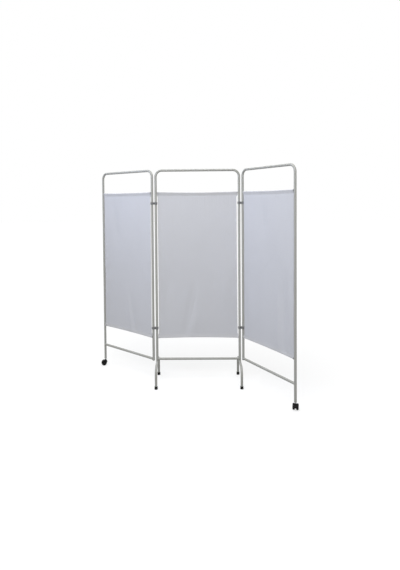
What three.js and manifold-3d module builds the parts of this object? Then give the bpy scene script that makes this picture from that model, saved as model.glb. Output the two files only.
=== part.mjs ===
// Ward privacy screen: three bent-tube frames with cloth stretched between rods. The centre panel
// stands on two leg arches, and the side panels swing on double tube clamps and roll on casters.
// Millimetres, +Z up. The centre panel lies along X, its front towards -Y, and the origin is the
// middle of the floor area that the screen covers as it stands.

import * as THREE from "three";
import { mergeVertices } from "three/addons/utils/BufferGeometryUtils.js";
import Module from "manifold-3d";

// Fits
const CLEARANCE = 0.3; // between pieces that seat on or in each other
const OVERRUN = 2; // how far a cut runs past the wall that it opens
const WELD_DISTANCE = 1e-4; // corners this close are one corner

// Frames
const FRAME_HEIGHT = 1700; // floor to the top of the top bars
const TUBE_RADIUS = 9.5;
const TUBE_WALL = 1.5;
const TOP_BEND_RADIUS = 50; // to the tube's axis
const CENTRE_SPACING = 660; // between a panel's uprights, axis to axis
const SIDE_SPACING = 605;
const LEFT_FOLD = THREE.MathUtils.degToRad(40.3); // the left panel, turned back from straight
const RIGHT_FOLD = THREE.MathUtils.degToRad(60.4); // the right panel, turned forward from straight

// Leg arches, feet and end plugs
const FOOT_SPREAD = 305; // front foot to rear foot
const ARCH_HEIGHT = 161; // floor to the axis of an arch's level top
const ARCH_BEND_RADIUS = 60;
const FOOT_HEIGHT = 22;
const FOOT_SOLE = 5;
const FOOT_WALL = 2.9;
const FOOT_TAPER = 1.2;
const SWING_CLEARANCE = 2.5; // between an arch and the panel that folds over it
const PLUG_FLANGE = 2;
const PLUG_SHANK = 16;
const RAIL_SETBACK = 0.7; // from a side panel's inner tube end up to the underside of its rail

// Rods and curtains
const ROD_RADIUS = 3;
const ROD_TIP = 3; // how far a rod reaches past the tube's wall
const TOP_ROD_DROP = 174; // from the top bar's axis
const BOTTOM_ROD_RISE = 171; // from the bottom rail's axis
const CENTRE_ROD_SAG = 6; // the top rod's droop at mid-span, and the bottom rod's rise
const SIDE_ROD_SAG = 3.5;
const CENTRE_GAPS = [6, 9]; // from the left and the right upright's tube to the cloth
const LEFT_GAPS = [10, 5]; // from a side panel's inner and outer upright's tube to the cloth
const RIGHT_GAPS = [6, 4.5];
const CLOTH = 1;
const POCKET_EASE = 0.6; // between a rod and the cloth round it
const HEM_DEPTH = 26;
const FOLD_DEPTH = 7;

// Hinge clamps
const HINGE_GAP = 10; // between the two tubes that a clamp holds
const UPPER_CLAMP_DROP = 86; // from the top rod
const LOWER_CLAMP_RISE = 78; // from the bottom rod
const CLAMP_HEIGHT = 18;
const CLAMP_PLATE = 2.5;
const CLAMP_WEB = 7; // from the clamp's middle plane to the seat of the bolt's head
const CLAMP_SPLIT = 1; // between the two halves
const BOLT_RADIUS = 2.5;
const BOLT_HEAD_RADIUS = 4;
const BOLT_HEAD = 3.2;
const NUT_THICKNESS = 4;
const NUT_ACROSS_CORNERS = 8.7;
const BOLT_END = 1.2; // thread showing past the nut

// Casters
const WHEEL_RADIUS = 21;
const WHEEL_WIDTH = 15;
const WHEEL_GAP = 10; // between the two wheels
const WHEEL_RECESS = 1.6;
const WHEEL_RIM = 5;
const WHEEL_SHOULDER = 3;
const TRAIL = 13; // from the stem's axis to the axle's
const AXLE_RADIUS = 3;
const AXLE_HEAD_RADIUS = 4.8;
const AXLE_HEAD = 1.2;
const RUNNING_GAP = 0.8; // between a wheel and the hood
const HOOD_SHELL = 2.2;
const HUB_WALL = 4.4; // of the hood's web, round the axle
const HOOD_VALLEY = 1; // how far the hood dips between the wheels
const HOOD_ROUND = 1; // how far it drops towards its open sides
const HOOD_SKIRT = 3; // how far the hood reaches below the axle's axis
const BOSS_RISE = 7;
const BOSS_TOP_RADIUS = 6.5;
const BOSS_FOOT_RADIUS = 16;
const BOSS_FOOT_HEIGHT = 28;
const STEM_RADIUS = 4;
const STEM_SEAT = 12; // how far the stem goes down into the hood
const STEM_COLLAR_RADIUS = 6.5;
const STEM_COLLAR = 2;
const NECK = 7; // from the hood's boss up to the socket
const SOCKET_DEPTH = 34;
const SOCKET_FLANGE = 3.5;
const SOCKET_LIP = 1; // how far the flange stands out past the tube
const LEFT_CASTER_TURN = THREE.MathUtils.degToRad(51.3); // trail direction, from the panel's line
const RIGHT_CASTER_TURN = THREE.MathUtils.degToRad(132.9);

// Heights and spacings that follow from the sizes above
const TOP_BAR_HEIGHT = FRAME_HEIGHT - TUBE_RADIUS;
const ARCH_CROWN = ARCH_HEIGHT + TUBE_RADIUS;
const PLUG_FOOT = ARCH_CROWN + SWING_CLEARANCE;
const INNER_TUBE_END = PLUG_FOOT + PLUG_FLANGE + CLEARANCE;
const RAIL_HEIGHT = INNER_TUBE_END + RAIL_SETBACK + TUBE_RADIUS;
const TOP_ROD_HEIGHT = TOP_BAR_HEIGHT - TOP_ROD_DROP;
const BOTTOM_ROD_HEIGHT = RAIL_HEIGHT + BOTTOM_ROD_RISE;
const HINGE_PITCH = 2 * TUBE_RADIUS + HINGE_GAP;
const BORE_RADIUS = TUBE_RADIUS - TUBE_WALL;
const COPE_RADIUS = TUBE_RADIUS + CLEARANCE; // a tube's end, cut to fit the side of another
const POCKET_RADIUS = ROD_RADIUS + POCKET_EASE;
const HOOD_INNER_RADIUS = WHEEL_RADIUS + RUNNING_GAP;
const HOOD_RADIUS = HOOD_INNER_RADIUS + HOOD_SHELL;
const HOOD_HALF_WIDTH = WHEEL_GAP / 2 + WHEEL_WIDTH;
const BOSS_TOP = WHEEL_RADIUS + HOOD_RADIUS + BOSS_RISE;
const SOCKET_FOOT = BOSS_TOP + NECK;
const OUTER_TUBE_END = SOCKET_FOOT + SOCKET_FLANGE + CLEARANCE;

// Counts of flat sides and steps
const TUBE_ARC_SEGMENTS = 8; // per half turn
const BEND_STEPS = 4;
const ROD_ARC_SEGMENTS = 4;
const ROD_STEPS = 10;
const WHEEL_SEGMENTS = 18;
const SMALL_SEGMENTS = 16;
const CLAMP_ARC_SEGMENTS = 4;
const CURTAIN_STEPS = 18;
const CURTAIN_ROWS = 5;
const POCKET_SIDES = 8;
const NUT_SIDES = 6;

// Main folds in each curtain, as shares of its width and height: where the fold's line starts and
// ends across the width, where it starts and ends up the height, its half width, and its depth.
const centreFoldShares = [
  [0.35, 0.5, 0, 0.45, 0.05, 1],
  [0.44, 0.52, 0, 0.2, 0.05, -0.7],
  [0.12, 0.13, 0.1, 0.5, 0.07, 0.6],
  [0.86, 0.84, 0.1, 0.55, 0.08, -0.6],
];
const leftFoldShares = [
  [0.42, 0.52, 0, 0.35, 0.06, 1],
  [0.33, 0.45, 0, 0.3, 0.06, -0.8],
  [0.7, 0.8, 0.6, 1, 0.07, -0.7],
];
const rightFoldShares = [
  [0.7, 0.71, 0, 0.5, 0.05, -0.9],
  [0.82, 0.83, 0, 0.55, 0.05, 1],
  [0.93, 0.94, 0, 0.5, 0.05, -0.7],
  [0.42, 0.44, 0.7, 1, 0.07, 0.7],
];

const paintedSteel = { color: 0xadaea8, roughness: 0.35, metalness: 0.1 };
const platedSteel = { color: 0xb8babb, roughness: 0.3, metalness: 0.9 };
const clampSteel = { color: 0x6b6e70, roughness: 0.35, metalness: 0.8 };
const blackRubber = { color: 0x151515, roughness: 0.8, metalness: 0 };
const blackPlastic = { color: 0x1b1b1c, roughness: 0.45, metalness: 0 };
const greyPlastic = { color: 0x9a9b97, roughness: 0.5, metalness: 0 };
const curtainCloth = { color: 0xc9cad0, roughness: 0.95, metalness: 0 };

const wasm = await Module();
wasm.setup();

function solidOf(geometry) {
  const bare = geometry.clone();
  bare.deleteAttribute("normal");
  bare.deleteAttribute("uv");
  const welded = mergeVertices(bare, WELD_DISTANCE);
  const vertProperties = welded.attributes.position.array;
  const triVerts = Uint32Array.from(welded.index.array);
  return new wasm.Manifold(new wasm.Mesh({ numProp: 3, vertProperties, triVerts }));
}

function geometryOf(solid) {
  const { vertProperties, triVerts } = solid.getMesh();
  const geometry = new THREE.BufferGeometry();
  geometry.setAttribute("position", new THREE.BufferAttribute(vertProperties, 3));
  geometry.setIndex(new THREE.BufferAttribute(triVerts, 1));
  geometry.computeVertexNormals();
  return geometry;
}

function cutAway(geometry, cutters) {
  const left = cutters.reduce((solid, cutter) => solid.subtract(solidOf(cutter)), solidOf(geometry));
  return geometryOf(left);
}

function joined(geometries) {
  return geometryOf(geometries.map(solidOf).reduce((whole, piece) => whole.add(piece)));
}

function piece(name, geometry, finish) {
  const mesh = new THREE.Mesh(geometry, new THREE.MeshStandardMaterial(finish));
  mesh.name = name;
  return mesh;
}

// A round bar along Z, from one height to another.
function uprightBar(radius, from, to, segments = SMALL_SEGMENTS) {
  const bar = new THREE.CylinderGeometry(radius, radius, to - from, segments);
  return bar.rotateX(Math.PI / 2).translate(0, 0, (from + to) / 2);
}

// A round bar along X, from one place to another.
function crossBar(radius, from, to, segments = SMALL_SEGMENTS) {
  return uprightBar(radius, from, to, segments).rotateY(Math.PI / 2);
}

// A turned piece about Z: its profile is a list of [radius, height], listed upwards on the outside.
function turned(profile, segments = SMALL_SEGMENTS) {
  const points = profile.map(([radius, height]) => new THREE.Vector2(radius, height));
  return new THREE.LatheGeometry(points, segments).rotateX(Math.PI / 2);
}

// The line of a bent tube: straight stretches joined by round bends. It is read at its own
// stations: the two ends, and the steps of each bend.
class BentLine extends THREE.Curve {
  constructor(corners, bendRadius) {
    super();
    const first = corners[0];
    const last = corners[corners.length - 1];
    this.places = [first];
    this.headings = [corners[1].clone().sub(first).normalize()];
    for (let i = 1; i < corners.length - 1; i += 1) {
      this.addBend(corners[i - 1], corners[i], corners[i + 1], bendRadius);
    }
    this.places.push(last);
    this.headings.push(this.headings[this.headings.length - 1]);
    this.steps = this.places.length - 1;
  }

  // A quarter turn, from the heading into the corner to the heading out of it.
  addBend(before, corner, after, bendRadius) {
    const into = corner.clone().sub(before).normalize();
    const out = after.clone().sub(corner).normalize();
    const centre = corner.clone().addScaledVector(into, -bendRadius).addScaledVector(out, bendRadius);
    for (let step = 0; step <= BEND_STEPS; step += 1) {
      const turn = ((Math.PI / 2) * step) / BEND_STEPS;
      const outward = out.clone().multiplyScalar(-Math.cos(turn)).addScaledVector(into, Math.sin(turn));
      const heading = into.clone().multiplyScalar(Math.cos(turn)).addScaledVector(out, Math.sin(turn));
      this.places.push(centre.clone().addScaledVector(outward, bendRadius));
      this.headings.push(heading);
    }
  }

  getPointAt(share) {
    return this.places[Math.round(share * this.steps)].clone();
  }

  getTangentAt(share, target = new THREE.Vector3()) {
    return target.copy(this.headings[Math.round(share * this.steps)]);
  }
}

// Steel tube, open at both ends, along a list of corners.
function tubeAlong(corners, bendRadius = 0) {
  const line = new BentLine(corners, bendRadius);
  const section = new THREE.Shape().absarc(0, 0, TUBE_RADIUS, 0, 2 * Math.PI);
  section.holes.push(new THREE.Path().absarc(0, 0, BORE_RADIUS, 0, 2 * Math.PI, true));
  return new THREE.ExtrudeGeometry(section, {
    steps: line.steps,
    curveSegments: TUBE_ARC_SEGMENTS,
    extrudePath: line,
  });
}

// Panels are made with their first upright on the Z axis and their second one along +X.

// The inverted U of a panel, with a hole through the inner wall for each rod's ends.
function frameTube(spacing, firstEnd, secondEnd, cutters = []) {
  const bar = TOP_BAR_HEIGHT;
  const corners = [
    new THREE.Vector3(0, 0, firstEnd),
    new THREE.Vector3(0, 0, bar),
    new THREE.Vector3(spacing, 0, bar),
    new THREE.Vector3(spacing, 0, secondEnd),
  ];
  const rodHoles = [TOP_ROD_HEIGHT, BOTTOM_ROD_HEIGHT].flatMap((height) => {
    const reach = TUBE_RADIUS + OVERRUN;
    const radius = ROD_RADIUS + CLEARANCE;
    const segments = 2 * ROD_ARC_SEGMENTS;
    return [
      crossBar(radius, 0, reach, segments).translate(0, 0, height),
      crossBar(radius, -reach, 0, segments).translate(spacing, 0, height),
    ];
  });
  return cutAway(tubeAlong(corners, TOP_BEND_RADIUS), [...rodHoles, ...cutters]);
}

// A straight tube between the uprights, its ends coped to fit round them.
function bottomRail(spacing) {
  const ends = [new THREE.Vector3(0, 0, RAIL_HEIGHT), new THREE.Vector3(spacing, 0, RAIL_HEIGHT)];
  const low = RAIL_HEIGHT - COPE_RADIUS - OVERRUN;
  const high = RAIL_HEIGHT + COPE_RADIUS + OVERRUN;
  const copes = ends.map((end) => uprightBar(COPE_RADIUS, low, high).translate(end.x, 0, 0));
  return cutAway(tubeAlong(ends), copes);
}

// How far a rod has left its straight line, at a place along the panel.
function droop(x, spacing, sag) {
  const halfSpan = spacing / 2 - TUBE_RADIUS;
  const fromMiddle = Math.min(Math.abs(x - spacing / 2) / halfSpan, 1);
  return sag * (1 - fromMiddle * fromMiddle);
}

class RodLine extends THREE.Curve {
  constructor(spacing, height, sag) {
    super();
    this.rise = (x) => height - droop(x, spacing, sag);
    this.start = BORE_RADIUS - ROD_TIP;
    this.reach = spacing - 2 * this.start;
  }

  getPoint(share, target = new THREE.Vector3()) {
    const x = this.start + share * this.reach;
    return target.set(x, 0, this.rise(x));
  }
}

function rod(spacing, height, sag) {
  const section = new THREE.Shape().absarc(0, 0, ROD_RADIUS, 0, 2 * Math.PI);
  return new THREE.ExtrudeGeometry(section, {
    steps: ROD_STEPS,
    curveSegments: ROD_ARC_SEGMENTS,
    extrudePath: new RodLine(spacing, height, sag),
  });
}

// A curtain's upright section: a sheet with a doubled hem and a round rod pocket at each end.
function curtainSection() {
  const loop = POCKET_RADIUS + CLOTH;
  const sheet = CLOTH / 2;
  const hemLow = BOTTOM_ROD_HEIGHT + HEM_DEPTH;
  const hemHigh = TOP_ROD_HEIGHT - HEM_DEPTH;
  const side = [];
  const quarter = POCKET_SIDES / 4;
  for (let i = 0; i <= quarter; i += 1) {
    const turn = ((Math.PI / 2) * i) / quarter;
    side.push([loop * Math.sin(turn), BOTTOM_ROD_HEIGHT - loop * Math.cos(turn)]);
  }
  side.push([CLOTH, BOTTOM_ROD_HEIGHT + 2 * loop], [CLOTH, hemLow]);
  for (let row = 0; row <= CURTAIN_ROWS; row += 1) {
    const share = row / CURTAIN_ROWS;
    side.push([sheet, hemLow + CLOTH + share * (hemHigh - hemLow - 2 * CLOTH)]);
  }
  side.push([CLOTH, hemHigh], [CLOTH, TOP_ROD_HEIGHT - 2 * loop]);
  for (let i = quarter; i >= 0; i -= 1) {
    const turn = ((Math.PI / 2) * i) / quarter;
    side.push([loop * Math.sin(turn), TOP_ROD_HEIGHT + loop * Math.cos(turn)]);
  }
  const otherSide = side.slice(1, -1).reverse().map(([y, z]) => [-y, z]);
  const outline = new THREE.Shape([...side, ...otherSide].map(([y, z]) => new THREE.Vector2(y, z)));
  for (const height of [BOTTOM_ROD_HEIGHT, TOP_ROD_HEIGHT]) {
    outline.holes.push(new THREE.Path().absarc(0, height, POCKET_RADIUS, 0, 2 * Math.PI, true));
  }
  return outline;
}

// How far the cloth stands off its plane, at a share of its width and height.
function foldOffset(across, up, foldShares) {
  const heldFlat = Math.sqrt(Math.sin(Math.PI * Math.min(Math.max(up, 0), 1)));
  return foldShares.reduce((sum, [start, end, low, high, halfWidth, depth]) => {
    const along = (up - low) / (high - low);
    if (along < 0 || along > 1) return sum;
    const line = start + along * (end - start);
    const bell = Math.exp(-(((across - line) / halfWidth) ** 2));
    const fade = low === 0 ? Math.cos((Math.PI / 2) * along) : Math.sin(Math.PI * along);
    return sum + FOLD_DEPTH * depth * bell * fade * heldFlat;
  }, 0);
}

function curtain(spacing, [firstGap, secondGap], sag, foldShares) {
  const from = TUBE_RADIUS + firstGap;
  const width = spacing - TUBE_RADIUS - secondGap - from;
  const cloth = new THREE.ExtrudeGeometry(curtainSection(), {
    depth: width,
    steps: CURTAIN_STEPS,
    curveSegments: POCKET_SIDES / 2,
    bevelEnabled: false,
  });
  const place = cloth.getAttribute("position");
  const drop = TOP_ROD_HEIGHT - BOTTOM_ROD_HEIGHT;
  for (let i = 0; i < place.count; i += 1) {
    const x = from + place.getZ(i);
    const up = (place.getY(i) - BOTTOM_ROD_HEIGHT) / drop;
    const held = Math.min(Math.max(up, 0), 1);
    const y = place.getX(i) + foldOffset(place.getZ(i) / width, up, foldShares);
    const z = place.getY(i) + droop(x, spacing, sag) * (1 - 2 * held);
    place.setXYZ(i, x, y, z);
  }
  return cloth;
}

// Rods, rail and curtain, which every panel has.
function panelFilling(side, spacing, gaps, sag, foldShares) {
  return [
    piece(side + "_bottom_rail", bottomRail(spacing), paintedSteel),
    piece(side + "_top_rod", rod(spacing, TOP_ROD_HEIGHT, sag), platedSteel),
    piece(side + "_bottom_rod", rod(spacing, BOTTOM_ROD_HEIGHT, -sag), platedSteel),
    piece(side + "_curtain", curtain(spacing, gaps, sag, foldShares), curtainCloth),
  ];
}

// An inverted U of tube in the Y-Z plane, which carries the end of one centre upright.
function legArch() {
  const reach = FOOT_SPREAD / 2;
  const foot = FOOT_SOLE + CLEARANCE;
  const corners = [
    new THREE.Vector3(0, -reach, foot),
    new THREE.Vector3(0, -reach, ARCH_HEIGHT),
    new THREE.Vector3(0, reach, ARCH_HEIGHT),
    new THREE.Vector3(0, reach, foot),
  ];
  return tubeAlong(corners, ARCH_BEND_RADIUS);
}

// A rubber cup that the leg's end stands in.
function foot() {
  const pocket = TUBE_RADIUS + CLEARANCE;
  const outside = pocket + FOOT_WALL;
  return turned([
    [0, 0],
    [outside - FOOT_TAPER, 0],
    [outside, FOOT_TAPER],
    [outside - FOOT_TAPER, FOOT_HEIGHT],
    [pocket, FOOT_HEIGHT],
    [pocket, FOOT_SOLE],
    [0, FOOT_SOLE],
  ]);
}

function centrePanel() {
  const panel = new THREE.Group();
  panel.position.x = -CENTRE_SPACING / 2;
  const archTops = [0, CENTRE_SPACING].map((x) => {
    const reach = TUBE_RADIUS + OVERRUN;
    const top = uprightBar(COPE_RADIUS, -reach, reach).rotateX(Math.PI / 2);
    return top.translate(x, 0, ARCH_HEIGHT);
  });
  const frame = frameTube(CENTRE_SPACING, ARCH_HEIGHT, ARCH_HEIGHT, archTops);
  panel.add(piece("centre_frame_tube", frame, paintedSteel));
  panel.add(...panelFilling("centre", CENTRE_SPACING, CENTRE_GAPS, CENTRE_ROD_SAG, centreFoldShares));
  [["left", 0], ["right", CENTRE_SPACING]].forEach(([side, x]) => {
    const arch = piece(side + "_leg_arch", legArch(), paintedSteel);
    arch.position.x = x;
    panel.add(arch);
    [["front", -1], ["rear", 1]].forEach(([end, way]) => {
      const cup = piece("foot_" + end + "_" + side, foot(), blackRubber);
      cup.position.set(x, (way * FOOT_SPREAD) / 2, 0);
      panel.add(cup);
    });
  });
  return panel;
}

// A push-in cap for the open lower end of a side panel's inner upright.
function endPlug() {
  const shank = BORE_RADIUS - CLEARANCE;
  return turned([
    [0, PLUG_FOOT],
    [TUBE_RADIUS, PLUG_FOOT],
    [TUBE_RADIUS, PLUG_FOOT + PLUG_FLANGE],
    [shank, PLUG_FOOT + PLUG_FLANGE],
    [shank, PLUG_FOOT + PLUG_FLANGE + PLUG_SHANK],
    [0, PLUG_FOOT + PLUG_FLANGE + PLUG_SHANK],
  ]);
}

// A sleeve in the outer upright's end, which the caster's stem turns in.
function casterSocket() {
  const bore = STEM_RADIUS + CLEARANCE;
  const sleeve = BORE_RADIUS - CLEARANCE;
  const flange = TUBE_RADIUS + SOCKET_LIP;
  const seat = SOCKET_FOOT + SOCKET_FLANGE;
  return turned([
    [bore, SOCKET_FOOT],
    [flange, SOCKET_FOOT],
    [flange, seat],
    [sleeve, seat],
    [sleeve, seat + SOCKET_DEPTH],
    [bore, seat + SOCKET_DEPTH],
    [bore, SOCKET_FOOT],
  ]);
}

function casterStem() {
  const foot = BOSS_TOP - STEM_SEAT + CLEARANCE;
  const collar = BOSS_TOP + CLEARANCE;
  const top = SOCKET_FOOT + SOCKET_FLANGE + SOCKET_DEPTH;
  return turned([
    [0, foot],
    [STEM_RADIUS, foot],
    [STEM_RADIUS, collar],
    [STEM_COLLAR_RADIUS, collar],
    [STEM_COLLAR_RADIUS, collar + STEM_COLLAR],
    [STEM_RADIUS, collar + STEM_COLLAR],
    [STEM_RADIUS, top],
    [0, top],
  ]);
}

// Casters are made with the stem on the Z axis and the axle trailing along +X, across Y.

function axleBar(radius, from, to, segments = SMALL_SEGMENTS) {
  const bar = uprightBar(radius, from, to, segments).rotateX(Math.PI / 2);
  return bar.translate(TRAIL, 0, WHEEL_RADIUS);
}

// The hood's outside: a shell over both wheels with a dip between them, turned about the axle.
function hoodOutside() {
  const wheelMiddle = (WHEEL_GAP + WHEEL_WIDTH) / 2;
  const edge = HOOD_HALF_WIDTH;
  const rounded = HOOD_RADIUS - HOOD_ROUND;
  const outside = turned([
    [0, -edge],
    [rounded, -edge],
    [HOOD_RADIUS, -wheelMiddle],
    [HOOD_RADIUS - HOOD_VALLEY, 0],
    [HOOD_RADIUS, wheelMiddle],
    [rounded, edge],
    [0, edge],
  ], WHEEL_SEGMENTS);
  return outside.rotateX(Math.PI / 2).translate(TRAIL, 0, WHEEL_RADIUS);
}

function casterHood() {
  const bossHeight = BOSS_TOP - BOSS_FOOT_HEIGHT;
  const cone = new THREE.CylinderGeometry(BOSS_TOP_RADIUS, BOSS_FOOT_RADIUS, bossHeight, SMALL_SEGMENTS);
  const boss = cone.rotateX(Math.PI / 2).translate(0, 0, BOSS_FOOT_HEIGHT + bossHeight / 2);
  const skirt = WHEEL_RADIUS - HOOD_SKIRT;
  const reach = TRAIL + HOOD_RADIUS + OVERRUN;
  const underside = new THREE.BoxGeometry(2 * reach, 2 * reach, 2 * HOOD_RADIUS);
  underside.translate(0, 0, skirt - HOOD_RADIUS);
  const hubRadius = AXLE_RADIUS + CLEARANCE + HUB_WALL;
  const halfGap = WHEEL_GAP / 2 - RUNNING_GAP;
  const shell = cutAway(joined([hoodOutside(), boss]), [underside]);
  const hub = axleBar(hubRadius, -halfGap, halfGap);
  const outer = HOOD_HALF_WIDTH + OVERRUN;
  const stemFoot = BOSS_TOP - STEM_SEAT;
  return cutAway(joined([shell, hub]), [
    axleBar(HOOD_INNER_RADIUS, halfGap, outer, WHEEL_SEGMENTS),
    axleBar(HOOD_INNER_RADIUS, -outer, -halfGap, WHEEL_SEGMENTS),
    axleBar(AXLE_RADIUS + CLEARANCE, -outer, outer),
    uprightBar(STEM_RADIUS + CLEARANCE, stemFoot, BOSS_TOP + OVERRUN),
  ]);
}

function casterAxle() {
  const end = HOOD_HALF_WIDTH + CLEARANCE;
  const axle = turned([
    [0, -end - AXLE_HEAD],
    [AXLE_HEAD_RADIUS, -end - AXLE_HEAD],
    [AXLE_HEAD_RADIUS, -end],
    [AXLE_RADIUS, -end],
    [AXLE_RADIUS, end],
    [AXLE_HEAD_RADIUS, end],
    [AXLE_HEAD_RADIUS, end + AXLE_HEAD],
    [0, end + AXLE_HEAD],
  ]);
  return axle.rotateX(Math.PI / 2).translate(TRAIL, 0, WHEEL_RADIUS);
}

// A wheel with a rounded tread and a dished outer face, on the axle's +Y or -Y end.
function casterWheel(way) {
  const bore = AXLE_RADIUS + CLEARANCE;
  const hub = AXLE_HEAD_RADIUS + WHEEL_RECESS;
  const dish = WHEEL_RADIUS - WHEEL_RIM;
  const wheel = turned([
    [bore, 0],
    [dish, 0],
    [WHEEL_RADIUS - WHEEL_SHOULDER / 2, WHEEL_SHOULDER],
    [WHEEL_RADIUS, WHEEL_WIDTH / 2],
    [WHEEL_RADIUS - WHEEL_SHOULDER / 2, WHEEL_WIDTH - WHEEL_SHOULDER / 2],
    [WHEEL_RADIUS - WHEEL_SHOULDER, WHEEL_WIDTH],
    [dish, WHEEL_WIDTH],
    [dish - WHEEL_RECESS, WHEEL_WIDTH - WHEEL_RECESS],
    [hub, WHEEL_WIDTH - WHEEL_RECESS],
    [hub - WHEEL_RECESS / 2, WHEEL_WIDTH],
    [bore, WHEEL_WIDTH],
    [bore, 0],
  ], WHEEL_SEGMENTS);
  wheel.rotateX((-way * Math.PI) / 2);
  return wheel.translate(TRAIL, (way * WHEEL_GAP) / 2, WHEEL_RADIUS);
}

function caster(side) {
  const assembly = new THREE.Group();
  assembly.add(
    piece(side + "_caster_stem", casterStem(), platedSteel),
    piece(side + "_caster_hood", casterHood(), blackPlastic),
    piece(side + "_caster_axle", casterAxle(), clampSteel),
    piece(side + "_caster_wheel_a", casterWheel(1), blackRubber),
    piece(side + "_caster_wheel_b", casterWheel(-1), blackRubber),
  );
  return assembly;
}

// A side panel, its inner upright standing on the hinge's outer axis.
function sidePanel(side, hingeX, heading, casterTurn, gaps, foldShares) {
  const panel = new THREE.Group();
  panel.position.x = hingeX;
  panel.rotation.z = heading;
  const frame = frameTube(SIDE_SPACING, INNER_TUBE_END, OUTER_TUBE_END);
  panel.add(piece(side + "_frame_tube", frame, paintedSteel));
  panel.add(...panelFilling(side, SIDE_SPACING, gaps, SIDE_ROD_SAG, foldShares));
  panel.add(piece(side + "_end_plug", endPlug(), greyPlastic));
  const socket = piece(side + "_caster_socket", casterSocket(), greyPlastic);
  socket.position.x = SIDE_SPACING;
  const wheels = caster(side);
  wheels.position.x = SIDE_SPACING;
  wheels.rotation.z = casterTurn;
  panel.add(socket, wheels);
  return panel;
}

// Half of a figure-of-eight clamp round two tubes, made on the -Y side of their common plane.
function clampHalf() {
  const inner = TUBE_RADIUS + CLEARANCE;
  const outer = inner + CLAMP_PLATE;
  const tube = HINGE_PITCH / 2;
  const edge = CLAMP_SPLIT / 2;
  const innerTurn = Math.asin(edge / inner);
  const outerTurn = Math.asin(edge / outer);
  const webTurn = Math.asin(CLAMP_WEB / outer);
  const outline = new THREE.Shape();
  outline.absarc(-tube, 0, outer, Math.PI + outerTurn, 2 * Math.PI - webTurn);
  outline.absarc(tube, 0, outer, Math.PI + webTurn, 2 * Math.PI - outerTurn);
  outline.absarc(tube, 0, inner, 2 * Math.PI - innerTurn, Math.PI + innerTurn, true);
  outline.absarc(-tube, 0, inner, 2 * Math.PI - innerTurn, Math.PI + innerTurn, true);
  const half = new THREE.ExtrudeGeometry(outline, {
    depth: CLAMP_HEIGHT,
    curveSegments: CLAMP_ARC_SEGMENTS,
    bevelEnabled: false,
  });
  half.translate(0, 0, -CLAMP_HEIGHT / 2);
  const reach = outer + OVERRUN;
  const hole = uprightBar(BOLT_RADIUS + CLEARANCE, -reach, reach).rotateX(Math.PI / 2);
  return cutAway(half, [hole]);
}

// The bolt runs along Y, its domed head on the -Y side.
function clampBolt() {
  const seat = CLAMP_WEB + CLEARANCE;
  const end = seat + NUT_THICKNESS + BOLT_END;
  const bolt = turned([
    [0, -end],
    [BOLT_RADIUS, -end],
    [BOLT_RADIUS, seat],
    [BOLT_HEAD_RADIUS, seat],
    [BOLT_HEAD_RADIUS, seat + BOLT_HEAD / 2],
    [BOLT_RADIUS, seat + BOLT_HEAD],
    [0, seat + BOLT_HEAD],
  ]);
  return bolt.rotateX(Math.PI / 2);
}

function clampNut() {
  const seat = CLAMP_WEB + CLEARANCE;
  const hexagon = uprightBar(NUT_ACROSS_CORNERS / 2, seat, seat + NUT_THICKNESS, NUT_SIDES);
  const bore = uprightBar(BOLT_RADIUS + CLEARANCE, seat - OVERRUN, seat + NUT_THICKNESS + OVERRUN);
  return cutAway(hexagon, [bore]).rotateX(-Math.PI / 2);
}

function clamp(name, x, height) {
  const assembly = new THREE.Group();
  assembly.position.set(x, 0, height);
  assembly.add(
    piece(name + "_front", clampHalf(), clampSteel),
    piece(name + "_back", clampHalf().rotateZ(Math.PI), clampSteel),
    piece(name + "_bolt", clampBolt(), clampSteel),
    piece(name + "_nut", clampNut(), clampSteel),
  );
  return assembly;
}

const hingeX = CENTRE_SPACING / 2 + HINGE_PITCH;
const clampX = CENTRE_SPACING / 2 + HINGE_PITCH / 2;
const screen = new THREE.Group();
screen.add(
  centrePanel(),
  sidePanel("left", -hingeX, Math.PI - LEFT_FOLD, LEFT_CASTER_TURN, LEFT_GAPS, leftFoldShares),
  sidePanel("right", hingeX, -RIGHT_FOLD, RIGHT_CASTER_TURN, RIGHT_GAPS, rightFoldShares),
);
[["left", -1], ["right", 1]].forEach(([side, way]) => {
  screen.add(
    clamp(side + "_upper_clamp", way * clampX, TOP_ROD_HEIGHT - UPPER_CLAMP_DROP),
    clamp(side + "_lower_clamp", way * clampX, BOTTOM_ROD_HEIGHT + LOWER_CLAMP_RISE),
  );
});

// The screen is set down with the middle of its floor area on the origin.
const reach = new THREE.Box3().setFromObject(screen, true);
const middle = reach.getCenter(new THREE.Vector3());
screen.position.set(-middle.x, -middle.y, -reach.min.z);

export default screen;
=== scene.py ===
# Ward privacy screen on wheels: three bent-tube frames with cloth stretched between rods. The centre
# panel stands on two leg arches. The side panels fold on double tube clamps and roll on twin-wheel
# casters. Lengths are in metres.

import math

import bmesh
import bpy
from mathutils import Matrix, Vector


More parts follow.
